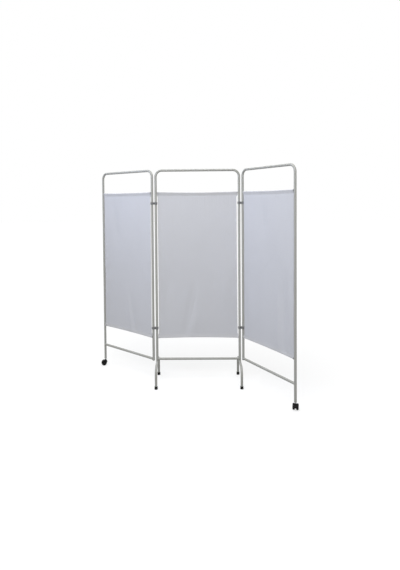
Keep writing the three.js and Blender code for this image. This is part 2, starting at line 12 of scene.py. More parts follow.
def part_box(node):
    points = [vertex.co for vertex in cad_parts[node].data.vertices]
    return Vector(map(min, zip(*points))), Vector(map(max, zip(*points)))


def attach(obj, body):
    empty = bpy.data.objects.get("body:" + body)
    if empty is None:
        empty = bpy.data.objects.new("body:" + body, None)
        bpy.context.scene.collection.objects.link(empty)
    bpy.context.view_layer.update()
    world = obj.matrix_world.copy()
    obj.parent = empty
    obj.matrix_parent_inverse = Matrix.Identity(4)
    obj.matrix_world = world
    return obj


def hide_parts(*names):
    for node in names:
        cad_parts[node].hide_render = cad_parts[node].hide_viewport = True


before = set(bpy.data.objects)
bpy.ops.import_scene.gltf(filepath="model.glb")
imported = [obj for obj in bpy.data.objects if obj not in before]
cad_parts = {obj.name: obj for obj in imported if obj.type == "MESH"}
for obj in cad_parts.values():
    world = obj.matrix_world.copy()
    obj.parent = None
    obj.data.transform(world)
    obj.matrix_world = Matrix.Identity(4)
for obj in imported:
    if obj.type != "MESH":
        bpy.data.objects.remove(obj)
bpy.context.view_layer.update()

# The screen is seen from in front at eye height, looking slightly down. The view is a part of a
# taller picture, so the lens is shifted down and a little to the side.
CAMERA_PLACE = (0.0463, -3.6261, 1.4389)
CAMERA_YAW = -0.0117  # radians, to the right of straight ahead
CAMERA_PITCH = 0.0311  # below the horizon
CAMERA_ROLL = -0.0084
CAMERA_LENS = 29.382  # millimetres, on a sensor 36 mm high
CAMERA_SHIFT = (0.02278, -0.12001)


def add_object(name, data):
    added = bpy.data.objects.new(name, data)
    bpy.context.scene.collection.objects.link(added)
    return added


camera = add_object("camera", bpy.data.cameras.new("camera"))
camera.data.lens = CAMERA_LENS
camera.data.shift_x, camera.data.shift_y = CAMERA_SHIFT
camera.matrix_world = (
    Matrix.Translation(CAMERA_PLACE)
    @ Matrix.Rotation(-CAMERA_YAW, 4, "Z")
    @ Matrix.Rotation(math.pi / 2 - CAMERA_PITCH, 4, "X")
    @ Matrix.Rotation(CAMERA_ROLL, 4, "Z")
)
bpy.context.scene.camera = camera
bpy.context.scene.view_settings.view_transform = "Standard"

# The screen stands on a plain pale studio floor, under a soft even light with a broad lamp high in
# front of it, a weaker one behind it and a cooler one to its left. The floor and what lies behind it
# show as white.
FLOOR_REACH = 30
FLOOR_COLOUR = (0.36, 0.36, 0.36, 1)
FLOOR_GLOW = 0.635  # round the screen, where the lamps light the floor too
FAR_FLOOR_GLOW = 0.74
LAMPLIGHT_REACH = (1, 6)
WHITE = (1, 1, 1, 1)
ROOM_COLOUR = (0.99, 1, 1, 1)
ROOM_LIGHT = 0.565
SUN_STRENGTH = 0.85
SUN_SPREAD = math.radians(50)
SUN_TURN = (math.radians(12), math.radians(-5), 0)
# Each lamp: name, place, what it points at, width and height, power, spread of its beam, colour
LAMPS = (
    ("front_lamp", (-0.3, -2.2, 3.4), (0, 0, 1.5), (2.6, 1.4), 54.5, math.pi, (1, 1, 0.99)),
    ("back_lamp", (0.4, 2.6, 3.2), (0, 0, 1), (2.6, 1.4), 22, math.pi, (1, 1, 1)),
    ("side_lamp", (-2.5, -0.7, 2.8), (0.1, 0, 2), (1.2, 1.2), 10, math.radians(90), (0.62, 0.72, 1)),
)


def feed(tree, node, feeds):
    """Feeds a node's sockets with plain values or other nodes' sockets. None leaves one as it is."""
    for socket, value in dict(feeds).items():
        if isinstance(value, bpy.types.NodeSocket):
            tree.links.new(value, node.inputs[socket])
        elif value is not None:
            node.inputs[socket].default_value = value


def add_node(tree, kind, feeds=(), **settings):
    node = tree.nodes.new(kind)
    for setting, value in settings.items():
        setattr(node, setting, value)
    feed(tree, node, feeds)
    return node


def reckon(tree, operation, *values):
    """The result of one step of arithmetic on plain values or sockets."""
    return add_node(tree, "ShaderNodeMath", enumerate(values), operation=operation).outputs[0]


def ranged(tree, value, low, high, first=0, last=1):
    """How far a value has come from low to high, told as a number between first and last."""
    feeds = enumerate((value, low, high, first, last))
    return add_node(tree, "ShaderNodeMapRange", feeds).outputs[0]


def own_place(tree):
    """Where a point lies in its piece's own axes."""
    return add_node(tree, "ShaderNodeTexCoord").outputs["Object"]


def own_axes(tree):
    return add_node(tree, "ShaderNodeSeparateXYZ", {0: own_place(tree)}).outputs


def mixed_shader(tree, unseen, seen):
    """One shader for the light in the room, another for the rays that show the backdrop: those
    that go straight to the camera, or there by a mirror or through glass."""
    rays = add_node(tree, "ShaderNodeLightPath").outputs
    shown = reckon(tree, "MAXIMUM", rays["Is Camera Ray"], rays["Is Glossy Ray"])
    shown = reckon(tree, "MAXIMUM", shown, rays["Is Transmission Ray"])
    return add_node(tree, "ShaderNodeMixShader", {0: shown, 1: unseen, 2: seen}).outputs[0]


world = bpy.data.worlds.new("studio")
world.use_nodes = True
world_tree = world.node_tree
world_tree.nodes.clear()
bpy.context.scene.world = world
room = add_node(world_tree, "ShaderNodeBackground", {"Color": ROOM_COLOUR, "Strength": ROOM_LIGHT})
backdrop = add_node(world_tree, "ShaderNodeBackground", {"Color": WHITE, "Strength": 1})
surround = mixed_shader(world_tree, room.outputs[0], backdrop.outputs[0])
add_node(world_tree, "ShaderNodeOutputWorld", {0: surround})

floor_finish = bpy.data.materials.new("pale_floor")
floor_finish.use_nodes = True
floor_tree = floor_finish.node_tree
floor_tree.nodes.clear()
matt = add_node(floor_tree, "ShaderNodeBsdfDiffuse", {"Color": FLOOR_COLOUR}).outputs[0]
out = add_node(floor_tree, "ShaderNodeVectorMath", {0: own_place(floor_tree)}, operation="LENGTH")
glow_level = ranged(floor_tree, out.outputs["Value"], *LAMPLIGHT_REACH, FLOOR_GLOW, FAR_FLOOR_GLOW)
glow = add_node(floor_tree, "ShaderNodeEmission", {"Color": WHITE, "Strength": glow_level})
glowing = add_node(floor_tree, "ShaderNodeAddShader", {0: matt, 1: glow.outputs[0]}).outputs[0]
add_node(floor_tree, "ShaderNodeOutputMaterial", {0: mixed_shader(floor_tree, matt, glowing)})

floor_mesh = bpy.data.meshes.new("floor")
floor_corners = [(x * FLOOR_REACH, y * FLOOR_REACH, 0) for x, y in ((-1, -1), (1, -1), (1, 1), (-1, 1))]
floor_mesh.from_pydata(floor_corners, [], [(0, 1, 2, 3)])
floor_mesh.materials.append(floor_finish)
floor = add_object("floor", floor_mesh)

sun = add_object("sun", bpy.data.lights.new("sun", "SUN"))
sun.data.energy = SUN_STRENGTH
sun.data.angle = SUN_SPREAD
sun.rotation_euler = SUN_TURN
for name, place, target, size, power, spread, colour in LAMPS:
    lamp = add_object(name, bpy.data.lights.new(name, "AREA"))
    lamp.data.shape = "RECTANGLE"
    lamp.data.size, lamp.data.size_y = size
    lamp.data.energy = power
    lamp.data.spread = spread
    lamp.data.color = colour
    lamp.location = place
    lamp.rotation_euler = (Vector(target) - Vector(place)).to_track_quat("-Z", "Y").to_euler()

# Each panel's frame is one length of thin-walled steel tube, bent on a former to an upturned U and
# painted off-white, here coloured a light grey that holds painted shade. The centre frame's uprights
# stand on the leg arches, cut to fit them.
TUBE_RADIUS = 0.0095
TUBE_WALL = 0.0015
BORE_RADIUS = TUBE_RADIUS - TUBE_WALL
FIT = 0.0003  # between pieces that seat on or in each other
SEAT_RADIUS = TUBE_RADIUS + FIT
TOP_BAR_HEIGHT = 1.6905
TOP_BEND_RADIUS = 0.05
ARCH_HEIGHT = 0.161  # of the axis of an arch's level top
INNER_TUBE_END = 0.1753
OUTER_TUBE_END = 0.0628
TUBE_SIDES = 32
BEND_STEPS = 14
SHARP_ANGLE = math.radians(38)
ORIGIN = Vector((0, 0, 0))
X_AXIS, Y_AXIS, Z_AXIS = Vector((1, 0, 0)), Vector((0, 1, 0)), Vector((0, 0, 1))


def middle_of(node):
    low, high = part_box(node)
    return (low + high) / 2


class Panel:
    """A panel's own axes: its first upright stands at their origin and its second one along +X."""

    def __init__(self, side, first, last):
        start, end = middle_of(first), middle_of(last)
        run = (end - start).xy
        self.side = side
        self.body = side + "_panel"
        self.spacing = run.length
        turn = Matrix.Rotation(math.atan2(run.y, run.x), 4, "Z")
        self.place = Matrix.Translation((start.x, start.y, 0)) @ turn


CENTRE = Panel("centre", "left_leg_arch", "right_leg_arch")
LEFT = Panel("left", "left_end_plug", "left_caster_socket")
RIGHT = Panel("right", "right_end_plug", "right_caster_socket")
PANELS = (CENTRE, LEFT, RIGHT)


def ring(centre, first, second, radius, sides, corner=None):
    """A round of points, or of a hexagon cut off round, with its corners at that radius."""
    points = []
    for i in range(sides):
        turn = 2 * math.pi * i / sides
        flat = math.cos(math.pi / 6) / math.cos(turn % (math.pi / 3) - math.pi / 6)
        reach = min(radius, corner * flat) if corner else radius
        points.append(centre + reach * (math.cos(turn) * first + math.sin(turn) * second))
    return points


def skin(bm, rings, closed=False):
    """Covers a row of rings with faces. An open row has flat ends; a closed one runs round."""
    rows = [[bm.verts.new(point) for point in points] for points in rings]
    count = len(rows[0])
    nexts = rows[1:] + rows[:1] if closed else rows[1:]
    for row, other in zip(rows, nexts):
        for i in range(count):
            j = (i + 1) % count
            bm.faces.new((row[i], row[j], other[j], other[i]))
    if not closed:
        for row in (rows[0], rows[-1]):
            for i in range(count // 2 - 1):
                bm.faces.new((row[i], row[i + 1], row[-2 - i], row[-1 - i]))


def skinned(rings, closed=False):
    bm = bmesh.new()
    skin(bm, rings, closed)
    return bm


def mesh_of(bm, name):
    bmesh.ops.recalc_face_normals(bm, faces=bm.faces)
    mesh = bpy.data.meshes.new(name)
    bm.to_mesh(mesh)
    bm.free()
    mesh.shade_smooth()
    mesh.set_sharp_from_angle(angle=SHARP_ANGLE)
    return mesh


def add_piece(name, mesh, body, place, finish, *nodes):
    """One piece, on the body that it moves with, in place of the nodes that it restates."""
    piece = add_object(name, mesh)
    piece.matrix_world = place
    mesh.materials.append(finish.material)
    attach(piece, body)
    if nodes:
        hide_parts(*nodes)
    return piece


def add_to(panel, name, bm, finish, *nodes):
    """A piece that is built in a panel's own axes and moves with that panel."""
    return add_piece(name, mesh_of(bm, name), panel.body, panel.place, finish, *nodes)


def bent_line(corners, bend_radius):
    """The line of a bent tube as (place, heading) stations: its ends and the steps of its bends."""
    corners = [Vector(corner) for corner in corners]
    headings = [(after - before).normalized() for before, after in zip(corners, corners[1:])]
    stations = [(corners[0], headings[0])]
    for corner, into, out in zip(corners[1:-1], headings, headings[1:]):
        centre = corner + bend_radius * (out - into)
        for step in range(BEND_STEPS + 1):
            turn = math.pi / 2 * step / BEND_STEPS
            outward = math.sin(turn) * into - math.cos(turn) * out
            heading = math.cos(turn) * into + math.sin(turn) * out
            stations.append((centre + bend_radius * outward, heading))
    return stations + [(corners[-1], headings[-1])]


def seated(points, heading, crossing, way, seat_radius=SEAT_RADIUS):
    """Slides a tube's end ring along its heading, until it fits the side of a crossing tube."""
    place, direction = crossing
    across = direction.cross(heading)
    slid = []
    for point in points:
        off = (point - place).dot(across)
        depth = way * math.sqrt(seat_radius**2 - off**2)
        slid.append(point + heading * ((place - point).dot(heading) + depth))
    return slid


def hollow_tube(stations, square, start_on=None, end_on=None):
    """Steel tube along a line that lies square to one direction, its ends cut to what it meets."""
    walls = []
    for radius in (TUBE_RADIUS, BORE_RADIUS):
        rings = [ring(place, square, way.cross(square), radius, TUBE_SIDES) for place, way in stations]
        if start_on:
            rings[0] = seated(rings[0], stations[0][1], start_on, 1)
        if end_on:
            rings[-1] = seated(rings[-1], stations[-1][1], end_on, -1)
        walls.append(rings)
    outside, inside = walls
    return skinned(outside + inside[::-1], closed=True)


def shader_group(name, inputs, *outputs):
    """An effect that several finishes share: its tree, what it is given, and its result."""
    tree = bpy.data.node_groups.new(name, "ShaderNodeTree")
    for socket, value in inputs.items():
        kind = "NodeSocketVector" if isinstance(value, tuple) else "NodeSocketFloat"
        tree.interface.new_socket(socket, in_out="INPUT", socket_type=kind).default_value = value
    for socket in outputs:
        tree.interface.new_socket(socket, in_out="OUTPUT", socket_type="NodeSocketFloat")
    return tree, tree.nodes.new("NodeGroupInput").outputs, tree.nodes.new("NodeGroupOutput")


def unevenness_group():
    """Soft patches or fine grain over a surface, from 0 to 1, drawn out along its stretch."""
    inputs = {"Scale": 20.0, "Stretch": (1.0, 1.0, 1.0), "Low": 0.35, "High": 0.65}
    tree, given, result = shader_group("unevenness", inputs, "Mask")
    feeds = {0: own_place(tree), 1: given["Stretch"]}
    stretched = add_node(tree, "ShaderNodeVectorMath", feeds, operation="MULTIPLY").outputs[0]
    feeds = {"Vector": stretched, "Scale": given["Scale"], "Detail": 4, "Roughness": 0.6}
    noise = add_node(tree, "ShaderNodeTexNoise", feeds).outputs["Fac"]
    feed(tree, result, {"Mask": ranged(tree, noise, given["Low"], given["High"])})
    return tree


def effect_in(tree, group, output="Mask", **values):
    feeds = {socket.capitalize(): value for socket, value in values.items()}
    return add_node(tree, "ShaderNodeGroup", feeds, node_tree=group).outputs[output]


def floor_dust_group():
    """Dust and scuffs, which lie thickest at the floor and thin out up to their reach."""
    tree, given, result = shader_group("floor_dust", {"Reach": 0.1, "Amount": 0.5}, "Mask")
    near_floor = ranged(tree, own_axes(tree)["Z"], 0, given["Reach"], 1, 0)
    dusty = reckon(tree, "MULTIPLY", near_floor, effect_in(tree, UNEVENNESS, scale=90))
    feed(tree, result, {"Mask": reckon(tree, "MULTIPLY", dusty, given["Amount"])})
    return tree


def worn_edges_group():
    """Where handling has rubbed the corners of a piece, broken up by a fine grain."""
    tree, given, result = shader_group("worn_edges", {"From": 0.53, "To": 0.6}, "Mask")
    sharpness = add_node(tree, "ShaderNodeNewGeometry").outputs["Pointiness"]
    edge = ranged(tree, sharpness, given["From"], given["To"])
    worn = reckon(tree, "MULTIPLY", edge, effect_in(tree, UNEVENNESS, scale=700))
    feed(tree, result, {"Mask": worn})
    return tree


UNEVENNESS = unevenness_group()
FLOOR_DUST = floor_dust_group()
WORN_EDGES = worn_edges_group()


class Finish:
    """A material: plain numbers sit on its shader's own sockets, and effects are laid over them."""

    def __init__(self, name, slot, colour, roughness, plain=()):
        self.material = bpy.data.materials.new(name)
        self.slot = slot
        self.material.use_nodes = True
        self.tree = self.material.node_tree
        self.shader = self.tree.nodes["Principled BSDF"]
        self.colour = colour
        self.roughness = roughness
        self.normal = None
        feed(self.tree, self.shader, plain)

    def effect(self, *group, **values):
        return effect_in(self.tree, *group, **values)

    def uneven(self, **values):
        return self.effect(UNEVENNESS, **values)

    def tint(self, mask, colour, amount):
        """Turns the colour towards another where the mask is, by at most that amount."""
        feeds = {0: reckon(self.tree, "MULTIPLY", mask, amount), 6: self.colour, 7: colour}
        self.colour = add_node(self.tree, "ShaderNodeMix", feeds, data_type="RGBA").outputs[2]

    def roughen(self, mask, amount):
        """Adds to the roughness where the mask is."""
        self.roughness = reckon(self.tree, "MULTIPLY_ADD", mask, amount, self.roughness)

    def raise_by(self, height, depth):
        """Lays a relief of that depth over the surface."""
        feeds = {"Height": height, "Distance": depth, "Strength": 1, "Normal": self.normal}
        self.normal = add_node(self.tree, "ShaderNodeBump", feeds).outputs[0]

    def done(self):
        sockets = {"Base Color": self.colour, "Roughness": self.roughness, "Normal": self.normal}
        feed(self.tree, self.shader, sockets)
        return self


# The off-white paint's colour, set to a light grey that holds painted shade: the darkness that the
# backlit tubes show
PAINT_IN_SHADE = (0.362, 0.362, 0.341, 1)
PAINT_AGED = (0.34, 0.335, 0.3, 1)
PAINT_RUBBED = (0.2, 0.2, 0.19, 1)
PAINT_RIPPLE = 0.00002
FLOOR_GRIME = (0.16, 0.15, 0.13, 1)
SCUFF_REACH = 0.22  # up from the floor
CLAMP_HEIGHTS = (0.4345, 1.4305)
RUB_REACH = 0.0135  # from a clamp's middle to where its rubbing ends
HINGE_SIDE = 0.02  # a hinged upright's metal lies within this of its axis
FAR_HINGE = 0.64  # only the centre panel has metal this far along, on its second upright


def painted_steel_finish(name, rubbed):
    """Off-white paint, given a light grey colour that holds painted shade, with a faint ripple, yellowed
    in patches, scuffed low down, and rubbed above and below the hinge clamps."""
    plain = {"Coat Weight": 0.1, "Coat Roughness": 0.25}
    paint = Finish(name, "painted_steel", PAINT_IN_SHADE, roughness=0.44, plain=plain)
    paint.tint(paint.uneven(scale=7, low=0.4, high=0.7), PAINT_AGED, 0.5)
    paint.tint(paint.uneven(scale=420, low=0.62, high=0.7), PAINT_AGED, 0.35)
    scuffed = paint.effect(FLOOR_DUST, reach=SCUFF_REACH, amount=0.8)
    paint.tint(scuffed, FLOOR_GRIME, 0.45)
    paint.roughen(paint.uneven(scale=60), 0.1)
    paint.roughen(scuffed, 0.3)
    if rubbed:
        tree, axes = paint.tree, own_axes(paint.tree)
        hinged = reckon(tree, "COMPARE", axes["X"], 0, HINGE_SIDE)
        far_side = reckon(tree, "GREATER_THAN", axes["X"], FAR_HINGE)
        hinged = reckon(tree, "MAXIMUM", hinged, far_side)
        streaks = paint.uneven(scale=300, stretch=(1, 1, 4), low=0.4, high=0.6)
        for clamp_height in CLAMP_HEIGHTS:
            held = reckon(tree, "COMPARE", axes["Z"], clamp_height, RUB_REACH)
            rub = reckon(tree, "MULTIPLY", reckon(tree, "MULTIPLY", held, hinged), streaks)
            paint.tint(rub, PAINT_RUBBED, 0.7)
            paint.roughen(rub, 0.2)
    paint.raise_by(paint.uneven(scale=260, low=0.2, high=0.8), PAINT_RIPPLE)
    return paint.done()


FRAME_PAINT = painted_steel_finish("off_white_paint", True)
PLAIN_PAINT = painted_steel_finish("off_white_paint_low", False)


def frame_tube(panel, first_end, second_end, crossings=(None, None)):
    corners = [
        (0, 0, first_end),
        (0, 0, TOP_BAR_HEIGHT),
        (panel.spacing, 0, TOP_BAR_HEIGHT),
        (panel.spacing, 0, second_end),
    ]
    tube = hollow_tube(bent_line(corners, TOP_BEND_RADIUS), Y_AXIS, *crossings)
    add_to(panel, panel.side + "_frame", tube, FRAME_PAINT, panel.side + "_frame_tube")


arch_crossings = [(Vector((x, 0, ARCH_HEIGHT)), Y_AXIS) for x in (0, CENTRE.spacing)]
frame_tube(CENTRE, ARCH_HEIGHT, ARCH_HEIGHT, arch_crossings)
frame_tube(LEFT, INNER_TUBE_END, OUTER_TUBE_END)
frame_tube(RIGHT, INNER_TUBE_END, OUTER_TUBE_END)

# A straight rail of the same tube joins the uprights near the floor. Its ends are cut to fit them
# and welded all round, and the weld is painted over with the frame.
RAIL_HEIGHT = 0.1855
BEAD_RADIUS = 0.0016
BEAD_SIDES = 8
BEAD_STEPS = 96
BEAD_SCALLOPS = 24
BEAD_RIPPLE_SHARE = 0.13


def saddle_bead(
    bm, crossing, heading,
    around=TUBE_RADIUS, seat=SEAT_RADIUS, radius=BEAD_RADIUS, ripple_share=BEAD_RIPPLE_SHARE,
):
    """A raised bead round the foot of a round bar that stands on the side of a crossing tube. It is
    the weld of one tube on another, unless it gets other sizes."""
    place, direction = crossing
    across = direction.cross(heading)
    line = seated(ring(place, across, direction, around, BEAD_STEPS), heading, crossing, 1, seat)
    rings = []
    for i, point in enumerate(line):
        along = (line[(i + 1) % BEAD_STEPS] - line[i - 1]).normalized()
        from_axis = point - place
        outward = from_axis - heading * from_axis.dot(heading)
        outward = (outward - along * outward.dot(along)).normalized()
        scallop = math.sin(2 * math.pi * BEAD_SCALLOPS * i / BEAD_STEPS)
        size = radius * (1 + ripple_share * scallop)
        rings.append(ring(point, outward, along.cross(outward), size, BEAD_SIDES))
    skin(bm, rings, closed=True)


for panel in PANELS:
    ends = [Vector((x, 0, RAIL_HEIGHT)) for x in (0, panel.spacing)]
    rail = hollow_tube(bent_line(ends, 0), Y_AXIS, (ends[0], Z_AXIS), (ends[1], Z_AXIS))
    add_to(panel, panel.side + "_rail", rail, PLAIN_PAINT, panel.side + "_bottom_rail")
    welds = bmesh.new()
    for end, heading in zip(ends, (X_AXIS, -X_AXIS)):
        saddle_bead(welds, (end, Z_AXIS), heading)
    add_to(panel, panel.side + "_rail_welds", welds, PLAIN_PAINT)

# Under each end of the centre panel a shorter piece of tube is bent to a low arch, one leg in front
# and one behind. The upright is welded on the middle of its level top.
FOOT_SPREAD = 0.305
ARCH_BEND_RADIUS = 0.06
FOOT_SOLE = 0.005

for end, crossing in zip(("left", "right"), arch_crossings):
    x = crossing[0].x
    half_spread = FOOT_SPREAD / 2
    leg_end = FOOT_SOLE + FIT
    corners = [
        (x, -half_spread, leg_end),
        (x, -half_spread, ARCH_HEIGHT),
        (x, half_spread, ARCH_HEIGHT),
        (x, half_spread, leg_end),
    ]
    arch = hollow_tube(bent_line(corners, ARCH_BEND_RADIUS), X_AXIS)
    add_to(CENTRE, end + "_arch", arch, PLAIN_PAINT, end + "_leg_arch")
    weld = bmesh.new()
    saddle_bead(weld, crossing, Z_AXIS)
    add_to(CENTRE, end + "_arch_weld", weld, PLAIN_PAINT)

# A moulded black rubber cup is pushed on each leg's end. It has a rolled rim, two grip grooves and
# a sole that is hollow in the middle, and it greys with dust where it meets the floor.
FOOT_SIDES = 48
RUBBER = (0.005, 0.005, 0.005, 1)
RUBBER_DUST = (0.035, 0.033, 0.03, 1)
RUBBER_DUST_REACH = 0.016
RUBBER_GRAIN = 0.00008
# Radius and height, from the middle of the sole up the outside and down into the cup
FOOT_PROFILE = (
    (0.003, 0.0006), (0.0062, 0.0006), (0.0072, 0), (0.0114, 0), (0.0122, 0.0003),
    (0.01265, 0.0012), (0.0126, 0.0036), (0.01245, 0.0074), (0.01195, 0.0078), (0.01195, 0.0088),
    (0.01235, 0.0092), (0.0122, 0.0112), (0.0117, 0.0116), (0.0117, 0.0126), (0.0121, 0.013),
    (0.0118, 0.0178), (0.0121, 0.0186), (0.01235, 0.0198), (0.0122, 0.0211), (0.0117, 0.0218),
    (0.011, 0.022), (0.0102, 0.0217), (0.0098, 0.021), (0.0098, 0.005), (0.003, 0.005),
)


def turned(profile, sides, axis=Z_AXIS, place=ORIGIN, closed=False):
    """A round piece about an axis. A profile entry is radius, height and maybe a hexagon's corner."""
    across = axis.orthogonal().normalized()
    rings = []
    for radius, height, *corner in profile:
        rings.append(ring(place + height * axis, across, axis.cross(across), radius, sides, *corner))
    return skinned(rings, closed)


dull = {"Specular IOR Level": 0.12}
rubber = Finish("black_rubber", "black_rubber", RUBBER, roughness=0.62, plain=dull)
rubber.tint(rubber.uneven(scale=35), RUBBER_DUST, 0.12)
rubber_dust = rubber.effect(FLOOR_DUST, reach=RUBBER_DUST_REACH, amount=1)
rubber.tint(rubber_dust, RUBBER_DUST, 0.7)
rubber.tint(rubber.effect(WORN_EDGES), RUBBER_DUST, 0.4)
rubber.roughen(rubber_dust, 0.25)
rubber.raise_by(rubber.uneven(scale=1500), RUBBER_GRAIN)
RUBBER_FINISH = rubber.done()

for end in ("left", "right"):
    for row in ("front", "rear"):
        node = f"foot_{row}_{end}"
        name = "rubber_" + node
        stand = middle_of(node)
        place = Matrix.Translation((stand.x, stand.y, 0))
        foot = mesh_of(turned(FOOT_PROFILE, FOOT_SIDES), name)
        add_piece(name, foot, CENTRE.body, place, RUBBER_FINISH, node)

# Two thin plated steel rods span each frame and hold the cloth. Their ends go through pierced holes
# in the uprights, and the pull of the cloth bows the top one down and the bottom one up.
ROD_RADIUS = 0.003
ROD_TIP = 0.003  # past the inside of the tube's wall
ROD_SIDES = 16
ROD_STEPS = 48
TOP_ROD_HEIGHT = 1.5165
BOTTOM_ROD_HEIGHT = 0.3565
CENTRE_SAG = 0.006
SIDE_SAG = 0.0035
HOLE_LIP_AROUND = 0.0041
HOLE_LIP = 0.0008
METAL = {"Metallic": 1}
ZINC = (0.58, 0.59, 0.6, 1)
ZINC_DULL = (0.36, 0.36, 0.37, 1)
SCRATCH_DEPTH = 0.00002


def droop(panel, x):
    """How far a rod has left its straight line, at a place along the panel."""
    sag = CENTRE_SAG if panel is CENTRE else SIDE_SAG
    half_span = panel.spacing / 2 - TUBE_RADIUS
    from_middle = min(abs(x - panel.spacing / 2) / half_span, 1)
    return sag * (1 - from_middle**2)


def plated_finish(name, grain):
    """Zinc on steel, dulled in patches, with fine scratches that run along their grain."""
    zinc = Finish(name, "plated_steel", ZINC, roughness=0.28, plain=METAL)
    zinc.tint(zinc.uneven(scale=45, low=0.4, high=0.7), ZINC_DULL, 0.6)
    scratches = zinc.uneven(scale=140, stretch=grain, low=0.45, high=0.7)
    zinc.tint(scratches, ZINC_DULL, 0.35)
    zinc.roughen(scratches, 0.22)
    zinc.raise_by(scratches, SCRATCH_DEPTH)
    return zinc.done()


ROD_FINISH = plated_finish("zinc_plated_rod", (0.3, 6, 6))

for panel in PANELS:
    start = BORE_RADIUS - ROD_TIP
    span = panel.spacing - 2 * start
    for level, height, way in (("top", TOP_ROD_HEIGHT, -1), ("bottom", BOTTOM_ROD_HEIGHT, 1)):
        places = []
        for step in range(ROD_STEPS + 1):
            x = start + span * step / ROD_STEPS
            places.append(Vector((x, 0, height + way * droop(panel, x))))
        rings = []
        for step, place in enumerate(places):
            after, before = places[min(step + 1, ROD_STEPS)], places[max(step - 1, 0)]
            heading = (after - before).normalized()
            rings.append(ring(place, Y_AXIS, heading.cross(Y_AXIS), ROD_RADIUS, ROD_SIDES))
        name = f"{panel.side}_{level}_"
        add_to(panel, name + "bar", skinned(rings), ROD_FINISH, name + "rod")
    lips = bmesh.new()
    for height in (TOP_ROD_HEIGHT, BOTTOM_ROD_HEIGHT):
        for x, heading in ((0, X_AXIS), (panel.spacing, -X_AXIS)):
            crossing = (Vector((x, 0, height)), Z_AXIS)
            saddle_bead(lips, crossing, heading, HOLE_LIP_AROUND, TUBE_RADIUS, HOLE_LIP, 0)
    add_to(panel, panel.side + "_rod_hole_lips", lips, FRAME_PAINT)

# Each curtain is a plain-woven cloth, hemmed down both sides. Its ends are turned over the rods and
# sewn down to the sheet, so that each rod lies in a pocket, and the cloth hangs in a few long folds.
CLOTH = 0.0008
LAYER = 0.0009  # from the middle of one layer to the middle of the next
POCKET_RADIUS = 0.004  # of the cloth's middle, round a rod
SEAM_DEPTH = 0.022  # from the rod to the line of stitches
FLAP_DEPTH = 0.026  # from the rod to the turned edge
TURNED_UNDER = 0.008
SIDE_HEM = 0.009
SIDE_HEM_LAYERS = 2.2
SIDE_SEAM = 0.0072
CRISP = 0.0004  # over which a hem's edge steps up
COLUMN_PITCH = 0.0042
ROW_PITCH = 0.0105
POCKET_STEPS = 12
FLAP_STEPS = 5
FOLD_DEPTH = 0.007
CREASE_DEPTH = 0.0016
GATHER_DEPTH = 0.0007
GATHER_REACH = 0.07  # how far the gathers run into the sheet from a rod
GATHER_PITCHES = (0.031, 0.0193, 0.0121)
PUCKER_DEPTH = 0.00022
PUCKER_REACH = 0.006
PUCKER_PITCHES = (0.0113, 0.0079)
SLACK_DEPTH = 0.0012
SLACK_PITCHES = (0.39, 0.27)
SLACK_SLANT = 3  # the lines of the slack lean over by one part in this
STITCH_PITCH = 0.004
STITCH_LENGTH = 0.0031
STITCH_SHARES = ((0, 0.4), (0.5, 1), (1, 0.4))  # how far along a stitch, and its thickness there
THREAD_RADIUS = 0.00024
THREAD_SIDES = 4
HEM_GAP = 0.002  # from an upright's tube to the edge of the cloth, along a rod
NECK_REACH = 0.018  # over which the cloth narrows from its hems
NECK_STEPS = 8
# From the first and the second upright's tube to the cloth between its hems, at the top and bottom
CENTRE_GAPS = ((0.006, 0.006), (0.0105, 0.0065))
LEFT_GAPS = ((0.01, 0.01), (0.005, 0.005))
RIGHT_GAPS = ((0.006, 0.006), (0.0045, 0.0045))
# The white cloth's colour, set to a white-grey that holds painted shade: the greying that the cloth shows
# in shade
SHADED_CLOTH_COLOUR = (0.597, 0.602, 0.634, 1)
CLOTH_WORN = (0.54, 0.54, 0.568, 1)
# Soiling low down, and also the painted shade along the rods
CLOTH_SOIL_AND_SHADE = (0.45, 0.44, 0.43, 1)
CLOTH_DUST_REACH = 0.5
THREADS = 1900  # to the metre
WEAVE_DEPTH = 0.00012
RUMPLE_DEPTH = 0.0005
THREAD_TWIST_DEPTH = 0.00005

# The main folds, as shares of the cloth's width and height: where the fold's line starts and ends
# across, where it starts and ends up, its half width, and its depth.
FOLD_SHARES = {
    "centre": (
        (0.33, 0.49, 0, 0.45, 0.05, 0.75),
        (0.42, 0.51, 0, 0.2, 0.05, -0.6),
        (0.12, 0.13, 0.1, 0.5, 0.07, 0.6),
        (0.86, 0.84, 0.1, 0.55, 0.08, -0.6),
    ),
    "left": (
        (0.42, 0.52, 0, 0.35, 0.06, 1),
        (0.33, 0.45, 0, 0.3, 0.06, -0.8),
        (0.7, 0.8, 0.6, 1, 0.07, -0.7),
    ),
    "right": (
        (0.7, 0.71, 0, 0.5, 0.05, -0.9),
        (0.82, 0.83, 0, 0.55, 0.05, 1),
        (0.93, 0.94, 0, 0.5, 0.05, -0.7),
        (0.42, 0.44, 0.7, 1, 0.07, 0.7),
    ),
}
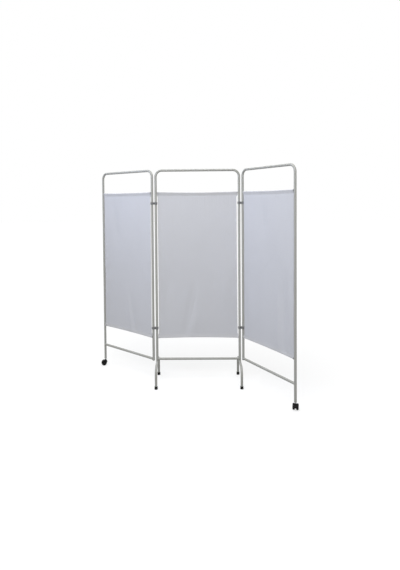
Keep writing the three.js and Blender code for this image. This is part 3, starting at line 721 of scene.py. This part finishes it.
# The finer creases, in the same way
CREASE_SHARES = {
    "centre": (
        (0.36, 0.493, 0.02, 0.33, 0.014, 1),
        (0.437, 0.49, 0, 0.15, 0.012, -0.8),
        (0.09, 0.1, 0.17, 0.42, 0.01, 0.6),
        (0.15, 0.155, 0.15, 0.4, 0.012, -0.5),
        (0.8, 0.81, 0.22, 0.47, 0.012, 0.5),
        (0.91, 0.92, 0.2, 0.45, 0.01, -0.6),
        (0.2, 0.24, 0.72, 1, 0.014, 0.4),
        (0.63, 0.61, 0.78, 1, 0.014, -0.4),
    ),
    "left": (
        (0.413, 0.494, 0, 0.27, 0.013, 1),
        (0.327, 0.428, 0, 0.25, 0.012, -0.8),
        (0.677, 0.737, 0.76, 1, 0.014, 0.8),
        (0.56, 0.622, 0.83, 1, 0.012, -0.7),
        (0.49, 0.5, 0.83, 1, 0.01, 0.5),
        (0.15, 0.17, 0.3, 0.62, 0.015, 0.4),
    ),
    "right": (
        (0.707, 0.71, 0, 0.46, 0.013, -1),
        (0.785, 0.79, 0, 0.46, 0.012, 0.9),
        (0.85, 0.855, 0, 0.45, 0.012, -0.8),
        (0.925, 0.93, 0, 0.44, 0.012, 0.8),
        (0.397, 0.4, 0.77, 1, 0.012, 0.6),
        (0.481, 0.485, 0.78, 1, 0.012, -0.6),
        (0.563, 0.57, 0.79, 1, 0.012, 0.5),
        (0.305, 0.7, 0.421, 0.622, 0.03, 0.5),
    ),
}


def folds(across, up, shares, depth):
    """How far a set of folds stands off the cloth's plane, at a share of its width and height."""
    total = 0
    for start, end, low, high, half_width, size in shares:
        along = (up - low) / (high - low)
        if 0 <= along <= 1:
            line = start + along * (end - start)
            bell = math.exp(-(((across - line) / half_width) ** 2))
            fade = math.cos(math.pi / 2 * along) if low == 0 else math.sin(math.pi * along)
            total += depth * size * bell * fade
    return total


def waves(place, pitches):
    """An uneven ripple from -1 to 1 along a line, made of several even ones."""
    return sum(math.sin(2 * math.pi * place / pitch + pitch / CLOTH) for pitch in pitches) / len(pitches)


class Curtain:
    """A curtain in its panel's axes. Back is the side of the panel that its hems are turned to."""

    def __init__(self, panel, gaps, back):
        self.panel = panel
        self.gaps = gaps
        self.back = back
        self.low = TUBE_RADIUS + HEM_GAP
        self.high = panel.spacing - self.low
        self.width = self.high - self.low
        self.drop = TOP_ROD_HEIGHT - BOTTOM_ROD_HEIGHT
        self.main_shares = FOLD_SHARES[panel.side]
        self.crease_shares = CREASE_SHARES[panel.side]

    def neck(self, edge, up):
        """How far the pull on the cloth has drawn an edge in, at a share of the height."""
        top, bottom = self.gaps[edge]
        gap = bottom + up * (top - bottom)
        from_seam = min(up, 1 - up) * self.drop - SEAM_DEPTH
        share = min(max(from_seam / NECK_REACH, 0), 1)
        return (gap - HEM_GAP) * math.sin(math.pi / 2 * share) ** 2

    def lie(self, x, y, z):
        """Where a point of the flat, taut cloth comes to lie."""
        up = min(max((z - BOTTOM_ROD_HEIGHT) / self.drop, 0), 1)
        across = (x - self.low) / self.width
        x += (1 - across) * self.neck(0, up) - across * self.neck(1, up)
        taut = math.sqrt(math.sin(math.pi * up))
        off = taut * folds(across, up, self.main_shares, FOLD_DEPTH)
        off += taut * folds(across, up, self.crease_shares, CREASE_DEPTH)
        off += taut * SLACK_DEPTH * waves(x + z / SLACK_SLANT, SLACK_PITCHES)
        for rod_height in (TOP_ROD_HEIGHT, BOTTOM_ROD_HEIGHT):
            from_rod = abs(z - rod_height)
            spread = math.exp(-from_rod / GATHER_REACH) * (1 - math.exp(-from_rod / SEAM_DEPTH))
            off += GATHER_DEPTH * spread * waves(x + rod_height, GATHER_PITCHES)
            from_seam = (from_rod - SEAM_DEPTH) / PUCKER_REACH
            off += PUCKER_DEPTH * math.exp(-(from_seam**2)) * waves(x - rod_height, PUCKER_PITCHES)
        for seam in (self.low + SIDE_SEAM, self.high - SIDE_SEAM):
            from_seam = (x - seam) / PUCKER_REACH
            off += taut * PUCKER_DEPTH * math.exp(-(from_seam**2)) * waves(z - seam, PUCKER_PITCHES)
        return Vector((x, self.back * y + off, z + droop(self.panel, x) * (1 - 2 * up)))

    def hem_layers(self, x):
        """How thick the cloth is at a place across, in layers: more at the side hems."""
        from_edge = min(x - self.low, self.high - x)
        inside = min(max((from_edge - SIDE_HEM + CRISP) / CRISP, 0), 1)
        return SIDE_HEM_LAYERS + inside * (1 - SIDE_HEM_LAYERS)

    def column_places(self):
        hem = [0, CRISP, SIDE_SEAM / 2, SIDE_SEAM, SIDE_HEM - CRISP, SIDE_HEM]
        inner = self.width - 2 * SIDE_HEM
        count = round(inner / COLUMN_PITCH)
        middle = [SIDE_HEM + inner * i / count for i in range(1, count)]
        return [self.low + place for place in hem + middle + [self.width - place for place in hem[::-1]]]

    def upper_part(self):
        """The cloth's path from the turned edge, up, over the rod and down to the seam, each point
        as y, z and the layers of cloth there."""
        rod = TOP_ROD_HEIGHT
        seam = rod - SEAM_DEPTH
        steps = FLAP_STEPS
        turned_top = rod - FLAP_DEPTH + TURNED_UNDER
        path = [(LAYER, rod - FLAP_DEPTH + TURNED_UNDER * i / steps, 2) for i in range(steps + 1)]
        path.append((LAYER, turned_top + CRISP, 1))
        back_reach = math.hypot(SEAM_DEPTH - TURNED_UNDER, LAYER)
        first = math.atan2(turned_top - rod, LAYER) + math.acos(POCKET_RADIUS / back_reach)
        last = 3 * math.pi / 2 - math.acos(POCKET_RADIUS / SEAM_DEPTH)
        for i in range(POCKET_STEPS + 1):
            turn = first + (last - first) * i / POCKET_STEPS
            path.append((POCKET_RADIUS * math.cos(turn), rod + POCKET_RADIUS * math.sin(turn), 1))
        y, z, _ = path[-1]
        return path + [(y * (1 - i / steps), z + (seam - z) * i / steps, 1) for i in range(1, steps + 1)]

    def section(self):
        upper = self.upper_part()
        lower = [(y, TOP_ROD_HEIGHT + BOTTOM_ROD_HEIGHT - z, layers) for y, z, layers in upper[::-1]]
        high = upper[-1][1]
        drop = high - lower[0][1]
        neck = [NECK_REACH * i / NECK_STEPS for i in range(1, NECK_STEPS + 1)]
        plain = drop - 2 * NECK_REACH
        count = round(plain / ROW_PITCH)
        rows = neck + [NECK_REACH + plain * i / count for i in range(1, count)]
        rows += [drop - reach for reach in neck[::-1]]
        return upper + [(0, high - row, 1) for row in rows] + lower

    def cloth(self):
        path = self.section()
        last = len(path) - 1
        rings = []
        for x in self.column_places():
            hem = self.hem_layers(x)
            outside, inside = [], []
            for i, (y, z, layers) in enumerate(path):
                before, after = path[max(i - 1, 0)], path[min(i + 1, last)]
                run = math.hypot(after[0] - before[0], after[1] - before[1])
                out_y, out_z = (after[1] - before[1]) / run, (before[0] - after[0]) / run
                outer = hem * CLOTH * (layers - 1 / 2)
                inner = hem * CLOTH / 2
                outside.append(self.lie(x, hem * y + outer * out_y, z + outer * out_z))
                inside.append(self.lie(x, hem * y - inner * out_y, z - inner * out_z))
            rings.append(outside + inside[::-1])
        return skinned(rings)

    def stitches(self):
        """Both faces of each seam: rows of short threads along the hems and down the sides."""
        bm = bmesh.new()
        front = -CLOTH / 2
        back = LAYER + 3 * CLOTH / 2
        for z in (TOP_ROD_HEIGHT - SEAM_DEPTH, BOTTOM_ROD_HEIGHT + SEAM_DEPTH):
            for x in spaced(self.low + SIDE_HEM, self.high - SIDE_HEM, STITCH_PITCH):
                for y in (front, back):
                    self.add_stitch(bm, (x, y, z), (x + STITCH_LENGTH, y, z))
        side_face = SIDE_HEM_LAYERS * CLOTH / 2
        for x in (self.low + SIDE_SEAM, self.high - SIDE_SEAM):
            for z in spaced(BOTTOM_ROD_HEIGHT + FLAP_DEPTH, TOP_ROD_HEIGHT - FLAP_DEPTH, STITCH_PITCH):
                for y in (-side_face, side_face):
                    self.add_stitch(bm, (x, y, z), (x, y, z + STITCH_LENGTH))
        return bm

    def add_stitch(self, bm, start, end):
        start, end = self.lie(*start), self.lie(*end)
        heading = (end - start).normalized()
        rise = heading.cross(Y_AXIS)
        rings = []
        for share, size in STITCH_SHARES:
            place = start.lerp(end, share)
            rings.append(ring(place, Y_AXIS, rise, size * THREAD_RADIUS, THREAD_SIDES))
        skin(bm, rings)


def spaced(low, high, pitch):
    count = int((high - low) / pitch)
    return [low + pitch * i for i in range(count)]


def plain_weave_group():
    """Threads over and under each other: their relief, and which of the two sets is on top."""
    tree, given, result = shader_group("plain_weave", {"Threads": 1000.0}, "Height", "Over")
    axes = own_axes(tree)
    half_turns = []
    for axis in ("X", "Z"):
        count = reckon(tree, "MULTIPLY", axes[axis], given["Threads"])
        half_turns.append(reckon(tree, "SINE", reckon(tree, "MULTIPLY", count, math.pi)))
    warp, weft = [reckon(tree, "ABSOLUTE", half_turn) for half_turn in half_turns]
    over = reckon(tree, "GREATER_THAN", reckon(tree, "MULTIPLY", *half_turns), 0)
    warp_top = reckon(tree, "MULTIPLY", warp, reckon(tree, "SQRT", weft))
    weft_top = reckon(tree, "MULTIPLY", weft, reckon(tree, "SQRT", warp))
    height = add_node(tree, "ShaderNodeMix", {0: over, 2: weft_top, 3: warp_top}).outputs[0]
    feed(tree, result, {"Height": height, "Over": over})
    return tree


WEAVE = plain_weave_group()


def curtain_finish():
    """White-grey cloth whose colour holds painted shade: single threads vary, washing has worn it in
    clouds, and its foot is soiled. It is darker along the rods, as painted shade where two layers of
    cloth over a rod let less light through."""
    plain = {"Sheen Weight": 0.12, "Sheen Roughness": 0.4}
    cloth = Finish("woven_cloth", "curtain_cloth", SHADED_CLOTH_COLOUR, roughness=0.82, plain=plain)
    cloth.tint(cloth.effect(WEAVE, "Over", threads=THREADS), CLOTH_WORN, 0.22)
    cloth.tint(cloth.uneven(scale=6, low=0.35, high=0.7), CLOTH_WORN, 0.2)
    for stretch, amount in (((12, 1, 0.8), 0.35), ((0.8, 1, 12), 0.3)):
        slubs = cloth.uneven(scale=90, stretch=stretch, low=0.5, high=0.8)
        cloth.tint(slubs, CLOTH_WORN, amount)
    soiled = cloth.effect(FLOOR_DUST, reach=CLOTH_DUST_REACH, amount=0.5)
    cloth.tint(soiled, CLOTH_SOIL_AND_SHADE, 0.3)
    height = own_axes(cloth.tree)["Z"]
    # Painted shade: the cloth is darkened along each rod, where two layers of cloth let less light
    # through.
    for rod_height in (TOP_ROD_HEIGHT, BOTTOM_ROD_HEIGHT):
        above = reckon(cloth.tree, "SUBTRACT", height, rod_height)
        from_rod = reckon(cloth.tree, "ABSOLUTE", above)
        hem_shade = ranged(cloth.tree, from_rod, SEAM_DEPTH, FLAP_DEPTH + POCKET_RADIUS, 1, 0)
        cloth.tint(hem_shade, CLOTH_SOIL_AND_SHADE, 0.3)
    cloth.raise_by(cloth.effect(WEAVE, "Height", threads=THREADS), WEAVE_DEPTH)
    rumples = cloth.uneven(scale=38, stretch=(1.6, 1, 0.7), low=0.2, high=0.8)
    cloth.raise_by(rumples, RUMPLE_DEPTH)
    return cloth.done()


CLOTH_FINISH = curtain_finish()

# The thread takes the cloth's colour, with its painted shade.
thread = Finish("sewing_thread", "curtain_cloth", SHADED_CLOTH_COLOUR, roughness=0.7)
thread.tint(thread.uneven(scale=900), CLOTH_WORN, 0.5)
thread.raise_by(thread.uneven(scale=2500), THREAD_TWIST_DEPTH)
THREAD_FINISH = thread.done()

CURTAINS = (Curtain(CENTRE, CENTRE_GAPS, 1), Curtain(LEFT, LEFT_GAPS, -1), Curtain(RIGHT, RIGHT_GAPS, 1))
for curtain in CURTAINS:
    panel, side = curtain.panel, curtain.panel.side
    cloth = add_to(panel, side + "_cloth", curtain.cloth(), CLOTH_FINISH, side + "_curtain")
    threads = add_to(panel, side + "_stitches", curtain.stitches(), THREAD_FINISH)

# A grey moulded plug closes the lower end of each side panel's inner upright. In the outer one a
# moulded socket of the same plastic takes the caster's stem.
PLUG_SIDES = 40
PLUG_FOOT = 0.173
SOCKET_FOOT = 0.059
GREY_PLASTIC = (0.3, 0.3, 0.29, 1)
GREY_PLASTIC_WORN = (0.2, 0.2, 0.19, 1)
PLASTIC_DUST_REACH = 0.2
PLASTIC_GRAIN = 0.00004
# Radius and height above the foot, from the middle of the plug's face up and round to its shank's end
PLUG_PROFILE = (
    (0.003, 0.0003), (0.0072, 0.0003), (0.0076, 0), (0.0089, 0), (0.00935, 0.0003),
    (TUBE_RADIUS, 0.0008), (TUBE_RADIUS, 0.002), (0.0077, 0.002), (0.0077, 0.017), (0.0071, 0.018),
    (0.003, 0.018),
)
# The same, up the outside of the socket and back down its bore
SOCKET_PROFILE = (
    (0.0047, 0), (0.0094, 0), (0.0102, 0.0004), (0.0105, 0.001), (0.0105, 0.0028), (0.0102, 0.0035),
    (0.0077, 0.0035), (0.0077, 0.0365), (0.0072, 0.0375), (0.0043, 0.0375), (0.0043, 0.0005),
)

grey = Finish("grey_plastic", "grey_plastic", GREY_PLASTIC, roughness=0.42)
grey.tint(grey.uneven(scale=50), GREY_PLASTIC_WORN, 0.3)
grey.tint(grey.effect(WORN_EDGES), GREY_PLASTIC_WORN, 0.5)
grey.tint(grey.effect(FLOOR_DUST, reach=PLASTIC_DUST_REACH, amount=0.6), FLOOR_GRIME, 0.5)
grey.roughen(grey.uneven(scale=300), 0.2)
grey.raise_by(grey.uneven(scale=1200), PLASTIC_GRAIN)
GREY_FINISH = grey.done()

for panel in (LEFT, RIGHT):
    plug = turned(PLUG_PROFILE, PLUG_SIDES, place=Vector((0, 0, PLUG_FOOT)))
    add_to(panel, panel.side + "_tube_plug", plug, GREY_FINISH, panel.side + "_end_plug")
    foot = Vector((panel.spacing, 0, SOCKET_FOOT))
    socket = turned(SOCKET_PROFILE, PLUG_SIDES, place=foot, closed=True)
    add_to(panel, panel.side + "_stem_socket", socket, GREY_FINISH, panel.side + "_caster_socket")

# The side panels hang on the centre one by double tube clamps, an upper and a lower one on each
# side. Each is two pressed halves with a dark plated finish, drawn together between the tubes.
HINGE_PITCH = 0.029  # between the axes of the two tubes
CLAMP_HEIGHT = 0.018
CLAMP_PLATE = 0.0025
CLAMP_WEB = 0.007  # from the clamp's middle plane to the seat of the bolt's head
CLAMP_SPLIT = 0.001
CLAMP_ARC_STEPS = 28
CLAMP_WEB_STEPS = 6
CLAMP_ROUND = 0.0005
CLAMP_ROUND_ANGLE = math.radians(30)
ROUND_STEPS = 2
DARK_PLATING = (0.2, 0.204, 0.207, 1)
DARK_PLATING_WORN = (0.34, 0.34, 0.345, 1)
DARK_PLATING_DULL = (0.08, 0.08, 0.082, 1)
DARK_PLATING_GRAIN = 0.00008


def clamp_station(inside, outside):
    """Four corners of the clamp's band, where it runs between an inner and an outer point."""
    half = CLAMP_HEIGHT / 2
    corners = ((inside, -half), (outside, -half), (outside, half), (inside, half))
    return [Vector((*point, z)) for point, z in corners]


def clamp_half():
    """The half on the -Y side: round one tube, along the web, and round the other."""
    outer = SEAT_RADIUS + CLAMP_PLATE
    tube = HINGE_PITCH / 2
    edge = CLAMP_SPLIT / 2
    starts = [math.pi + math.asin(edge / radius) for radius in (SEAT_RADIUS, outer)]
    ends = [2 * math.pi - math.asin(edge / SEAT_RADIUS), 2 * math.pi - math.asin(CLAMP_WEB / outer)]
    left = []
    for i in range(CLAMP_ARC_STEPS + 1):
        pair = []
        for radius, start, end in zip((SEAT_RADIUS, outer), starts, ends):
            turn = start + (end - start) * i / CLAMP_ARC_STEPS
            pair.append((radius * math.cos(turn) - tube, radius * math.sin(turn)))
        left.append(pair)
    right = [[(-x, y) for x, y in pair] for pair in left[::-1]]
    web = []
    for i in range(1, CLAMP_WEB_STEPS):
        share = i / CLAMP_WEB_STEPS
        web.append([(a[0] + share * (b[0] - a[0]), a[1]) for a, b in zip(left[-1], right[0])])
    return mesh_of(skinned([clamp_station(*pair) for pair in left + web + right]), "clamp_half")


def round_corners(piece, width, angle):
    """Rounds those corners of a piece that turn by more than an angle."""
    rounding = piece.modifiers.new("rounding", "BEVEL")
    rounding.width = width
    rounding.segments = ROUND_STEPS
    rounding.limit_method = "ANGLE"
    rounding.angle_limit = angle


dark = Finish("dark_plated_clamp", "clamp_steel", DARK_PLATING, roughness=0.3, plain=METAL)
dark.tint(dark.uneven(scale=120, low=0.4, high=0.7), DARK_PLATING_DULL, 0.5)
dark.tint(dark.effect(WORN_EDGES), DARK_PLATING_WORN, 0.8)
dark.roughen(dark.uneven(scale=400), 0.25)
dark.raise_by(dark.uneven(scale=800), DARK_PLATING_GRAIN)
CLAMP_FINISH = dark.done()

# A domed socket-head bolt goes through the middle of each clamp from the front, with a hexagon nut
# behind it. Both have the clamp's dark plating.
BOLT_SIDES = 36
SEAT = CLAMP_WEB + FIT
NUT_THICKNESS = 0.004
NUT_CORNER = 0.00435
BOLT_END = 0.0012
SOCKET_CORNER = 0.0019
# Radius and height above the seat of the head, with the corner radius of its hexagon socket
HEAD_PROFILE = (
    (0.0025, 0), (0.0038, 0), (0.004, 0.0003), (0.004, 0.001), (0.00385, 0.0017), (0.0034, 0.0024),
    (0.0027, 0.0029), (0.0021, 0.0031), (0.002, 0.00305, SOCKET_CORNER), (0.00195, 0.0012, SOCKET_CORNER),
    (0.001, 0.001, SOCKET_CORNER),
)
# Radius and height from the thread's chamfered end, which points away from the head
THREAD_END_PROFILE = ((0.001, 0), (0.002, 0), (0.0025, 0.0005))
NUT_BORE = 0.0028
NUT_CHAMFER_SHARE = 0.89
NUT_CHAMFER = 0.0005


def clamp_bolt():
    end = -(SEAT + NUT_THICKNESS + BOLT_END)
    shank = [(radius, end + height) for radius, height in THREAD_END_PROFILE]
    head = [(radius, SEAT + height, *corner) for radius, height, *corner in HEAD_PROFILE]
    return mesh_of(turned(shank + head, BOLT_SIDES, -Y_AXIS), "clamp_bolt")


def clamp_nut():
    top = SEAT + NUT_THICKNESS
    face = NUT_CHAMFER_SHARE * NUT_CORNER
    profile = [
        (NUT_BORE, SEAT), (face, SEAT, NUT_CORNER), (NUT_CORNER, SEAT + NUT_CHAMFER, NUT_CORNER),
        (NUT_CORNER, top - NUT_CHAMFER, NUT_CORNER), (face, top, NUT_CORNER), (NUT_BORE, top),
    ]
    return mesh_of(turned(profile, BOLT_SIDES, Y_AXIS, closed=True), "clamp_nut")


for side in ("left", "right"):
    for level in ("upper", "lower"):
        node = f"{side}_{level}_clamp"
        middle = middle_of(node + "_bolt")
        place = Matrix.Translation((middle.x, CENTRE.place.translation.y, middle.z))
        turned_round = place @ Matrix.Rotation(math.pi, 4, "Z")
        parts = (
            ("front", clamp_half(), place),
            ("back", clamp_half(), turned_round),
            ("bolt", clamp_bolt(), place),
            ("nut", clamp_nut(), place),
        )
        for part, mesh, where in parts:
            name = f"{side}_{level}_hinge_{part}"
            piece = add_piece(name, mesh, side + "_clamps", where, CLAMP_FINISH, f"{node}_{part}")
            if part in ("front", "back"):
                round_corners(piece, CLAMP_ROUND, CLAMP_ROUND_ANGLE)

# A twin-wheel caster turns in each outer upright. Its black nylon hood is one moulding: a mudguard
# over both wheels, a web between them that carries the axle, and a boss for the stem.
TRAIL = 0.013  # from the stem's axis to the axle's
WHEEL_RADIUS = 0.021
WHEEL_WIDTH = 0.015
WHEEL_GAP = 0.01
RUNNING_GAP = 0.0008
HOOD_INNER_RADIUS = WHEEL_RADIUS + RUNNING_GAP
HOOD_SKIRT = 0.003  # how far the hood reaches below the axle's axis
HUB_RADIUS = 0.0077
AXLE_RADIUS = 0.003
STEM_RADIUS = 0.004
STEM_SEAT = 0.012
BOSS_TOP = 0.052
CASTER_SIDES = 72
HOOD_ROUND = 0.0005
HOOD_ROUND_ANGLE = math.radians(35)
OVERRUN = 0.002
AXLE_PLACE = Vector((TRAIL, 0, WHEEL_RADIUS))
# Radius and distance from the caster's middle, over one wheel
MUDGUARD_PROFILE = (
    (0.023, 0), (0.0231, 0.0022), (0.0234, 0.005), (0.02385, 0.009), (0.024, 0.0125), (0.0238, 0.0155),
    (0.0233, 0.0183), (0.0228, 0.0194), (0.0221, 0.0199), (0.021, 0.02),
)
# Radius and height of the boss
BOSS_PROFILE = (
    (0.016, 0.028), (0.0135, 0.036), (0.0112, 0.0412), (0.0094, 0.0445), (0.0082, 0.0468),
    (0.0073, 0.0492), (0.0068, 0.051), (0.0064, 0.0517), (0.0058, BOSS_TOP),
)
BLACK_NYLON = (0.004, 0.004, 0.0042, 1)
BLACK_NYLON_WORN = (0.025, 0.025, 0.0245, 1)
NYLON_DUST_REACH = 0.05
NYLON_GRAIN = 0.00004


def solid(profile, axis=Z_AXIS, place=ORIGIN, sides=CASTER_SIDES):
    return mesh_of(turned(profile, sides, axis, place), "solid")


def axle_bar(radius, start, end):
    return solid([(radius, start), (radius, end)], Y_AXIS, AXLE_PLACE)


def worked(name, mesh, steps):
    """Joins solids to a mesh or cuts them from it, in turn, and rounds the corners that are left."""
    blank = add_object(name, mesh)
    helpers = [blank]
    for operation, other in steps:
        helper = add_object(name + "_tool", other)
        helpers.append(helper)
        change = blank.modifiers.new(operation.lower(), "BOOLEAN")
        change.operation = operation
        change.object = helper
        change.solver = "EXACT"
    round_corners(blank, HOOD_ROUND, HOOD_ROUND_ANGLE)
    graph = bpy.context.evaluated_depsgraph_get()
    result = bpy.data.meshes.new_from_object(blank.evaluated_get(graph))
    for helper in helpers:
        bpy.data.objects.remove(helper)
    result.shade_smooth()
    result.set_sharp_from_angle(angle=SHARP_ANGLE)
    return result


def caster_hood():
    outside = [(radius, -place) for radius, place in MUDGUARD_PROFILE[:0:-1]]
    outside += MUDGUARD_PROFILE
    half_web = WHEEL_GAP / 2 - RUNNING_GAP
    outer = WHEEL_GAP / 2 + WHEEL_WIDTH + OVERRUN
    low = WHEEL_RADIUS - HOOD_SKIRT
    below = solid([(outer * 2, -outer), (outer * 2, low)])
    bore = STEM_RADIUS + FIT
    stem_bore = solid([(bore, BOSS_TOP - STEM_SEAT), (bore, BOSS_TOP + OVERRUN)])
    return worked(
        "hood",
        solid(outside, Y_AXIS, AXLE_PLACE),
        (
            ("UNION", solid(BOSS_PROFILE)),
            ("DIFFERENCE", below),
            ("UNION", axle_bar(HUB_RADIUS, -half_web, half_web)),
            ("DIFFERENCE", axle_bar(HOOD_INNER_RADIUS, half_web, outer)),
            ("DIFFERENCE", axle_bar(HOOD_INNER_RADIUS, -outer, -half_web)),
            ("DIFFERENCE", axle_bar(AXLE_RADIUS + FIT, -outer, outer)),
            ("DIFFERENCE", stem_bore),
        ),
    )


dull = {"Specular IOR Level": 0.1}
nylon = Finish("black_nylon", "black_plastic", BLACK_NYLON, roughness=0.36, plain=dull)
nylon.tint(nylon.uneven(scale=60), BLACK_NYLON_WORN, 0.15)
nylon.tint(nylon.effect(WORN_EDGES), BLACK_NYLON_WORN, 0.6)
nylon_dust = nylon.effect(FLOOR_DUST, reach=NYLON_DUST_REACH, amount=0.7)
nylon.tint(nylon_dust, RUBBER_DUST, 0.3)
nylon.roughen(nylon_dust, 0.3)
nylon.roughen(nylon.uneven(scale=250), 0.15)
nylon.raise_by(nylon.uneven(scale=1400), NYLON_GRAIN)
NYLON_FINISH = nylon.done()

# The stem is a turned and plated steel pin with a collar, pressed in the hood's boss. The axle is
# a plain blackened steel pin, its ends headed over outside the wheels.
SOCKET_TOP = 0.0965
STEM_CHAMFER = 0.001
# Radius and height
STEM_PROFILE = (
    (0.0015, 0.0403), (0.0036, 0.0403), (STEM_RADIUS, 0.0407), (STEM_RADIUS, 0.0523),
    (0.0061, 0.0523), (0.0065, 0.0526), (0.0065, 0.054), (0.0061, 0.0543), (STEM_RADIUS, 0.0543),
    (STEM_RADIUS, SOCKET_TOP - STEM_CHAMFER), (0.003, SOCKET_TOP), (0.0015, SOCKET_TOP),
)
STEM_FINISH = plated_finish("plated_stem", (1, 1, 1))
BLACKENED_STEEL = (0.012, 0.012, 0.0125, 1)
AXLE_END = WHEEL_GAP / 2 + WHEEL_WIDTH + FIT
# Radius and height above the wheel's outer face
AXLE_HEAD_PROFILE = (
    (AXLE_RADIUS, 0), (0.0046, 0), (0.0048, 0.0003), (0.0043, 0.0008), (0.003, 0.0011), (0.001, 0.0012)
)

black = Finish("blackened_axle", "clamp_steel", BLACKENED_STEEL, roughness=0.4, plain=METAL)
black.tint(black.uneven(scale=300), DARK_PLATING_DULL, 0.2)
black.roughen(black.uneven(scale=900), 0.2)
AXLE_FINISH = black.done()

# Each wheel is a moulded black rubber tread on a hard hub, with a dished outer face, a round boss
# at the axle, shallow spokes in the dish, and the mould's parting line round the tread.
WHEEL_SPOKES = 6
SPOKE_RISE = 0.0011
SPOKE_SPREAD_SHARE = 0.35
DISH_INNER, DISH_OUTER = 0.0066, 0.0144
# Radius and distance from the wheel's inner face
WHEEL_PROFILE = (
    (0.0033, 0), (0.0158, 0), (0.0165, 0.0003), (0.0188, 0.0014), (0.0199, 0.003), (0.0206, 0.005),
    (0.02085, 0.0071), (WHEEL_RADIUS, 0.0073), (WHEEL_RADIUS, 0.0077), (0.02085, 0.0079),
    (0.0206, 0.01), (0.0199, 0.012), (0.019, 0.0136), (0.0181, 0.0146), (0.0174, WHEEL_WIDTH),
    (0.0162, WHEEL_WIDTH), (0.0157, 0.0148), (0.0152, 0.0141), (DISH_OUTER, 0.0133),
    (0.0119, 0.0132), (0.0092, 0.0132), (DISH_INNER, 0.0133), (0.0061, 0.0138), (0.0058, 0.0146),
    (0.0054, WHEEL_WIDTH), (0.0033, WHEEL_WIDTH),
)


def caster_wheel(way):
    axis = way * Y_AXIS
    foot = AXLE_PLACE + axis * WHEEL_GAP / 2
    bm = turned(WHEEL_PROFILE, CASTER_SIDES, axis, foot, closed=True)
    for vertex in bm.verts:
        arm = vertex.co - foot
        out = arm.dot(axis)
        arm -= out * axis
        in_dish = DISH_INNER < arm.length < DISH_OUTER and out > WHEEL_WIDTH / 2
        if in_dish:
            wave = math.cos(WHEEL_SPOKES * math.atan2(arm.z, arm.x))
            spoke = max(wave - SPOKE_SPREAD_SHARE, 0) / (1 - SPOKE_SPREAD_SHARE)
            vertex.co += axis * SPOKE_RISE * spoke**0.5
    return mesh_of(bm, "wheel")


def axle_pin():
    half = [(radius, AXLE_END + height) for radius, height in AXLE_HEAD_PROFILE]
    return solid([(radius, -place) for radius, place in half[::-1]] + half, Y_AXIS, AXLE_PLACE)


for panel in (LEFT, RIGHT):
    side = panel.side
    stem = middle_of(side + "_caster_stem")
    trail = middle_of(side + "_caster_axle") - stem
    turn = Matrix.Rotation(math.atan2(trail.y, trail.x), 4, "Z")
    place = Matrix.Translation((stem.x, stem.y, 0)) @ turn
    body = side + "_caster"
    parts = (
        ("pin", solid(STEM_PROFILE, sides=PLUG_SIDES), body, STEM_FINISH, "stem"),
        ("mudguard", caster_hood(), body, NYLON_FINISH, "hood"),
        ("axle_pin", axle_pin(), body, AXLE_FINISH, "axle"),
        ("tyre_a", caster_wheel(1), side + "_wheel_a", RUBBER_FINISH, "wheel_a"),
        ("tyre_b", caster_wheel(-1), side + "_wheel_b", RUBBER_FINISH, "wheel_b"),
    )
    for part, mesh, rides_on, finish, node in parts:
        add_piece(f"{body}_{part}", mesh, rides_on, place, finish, f"{body}_{node}")
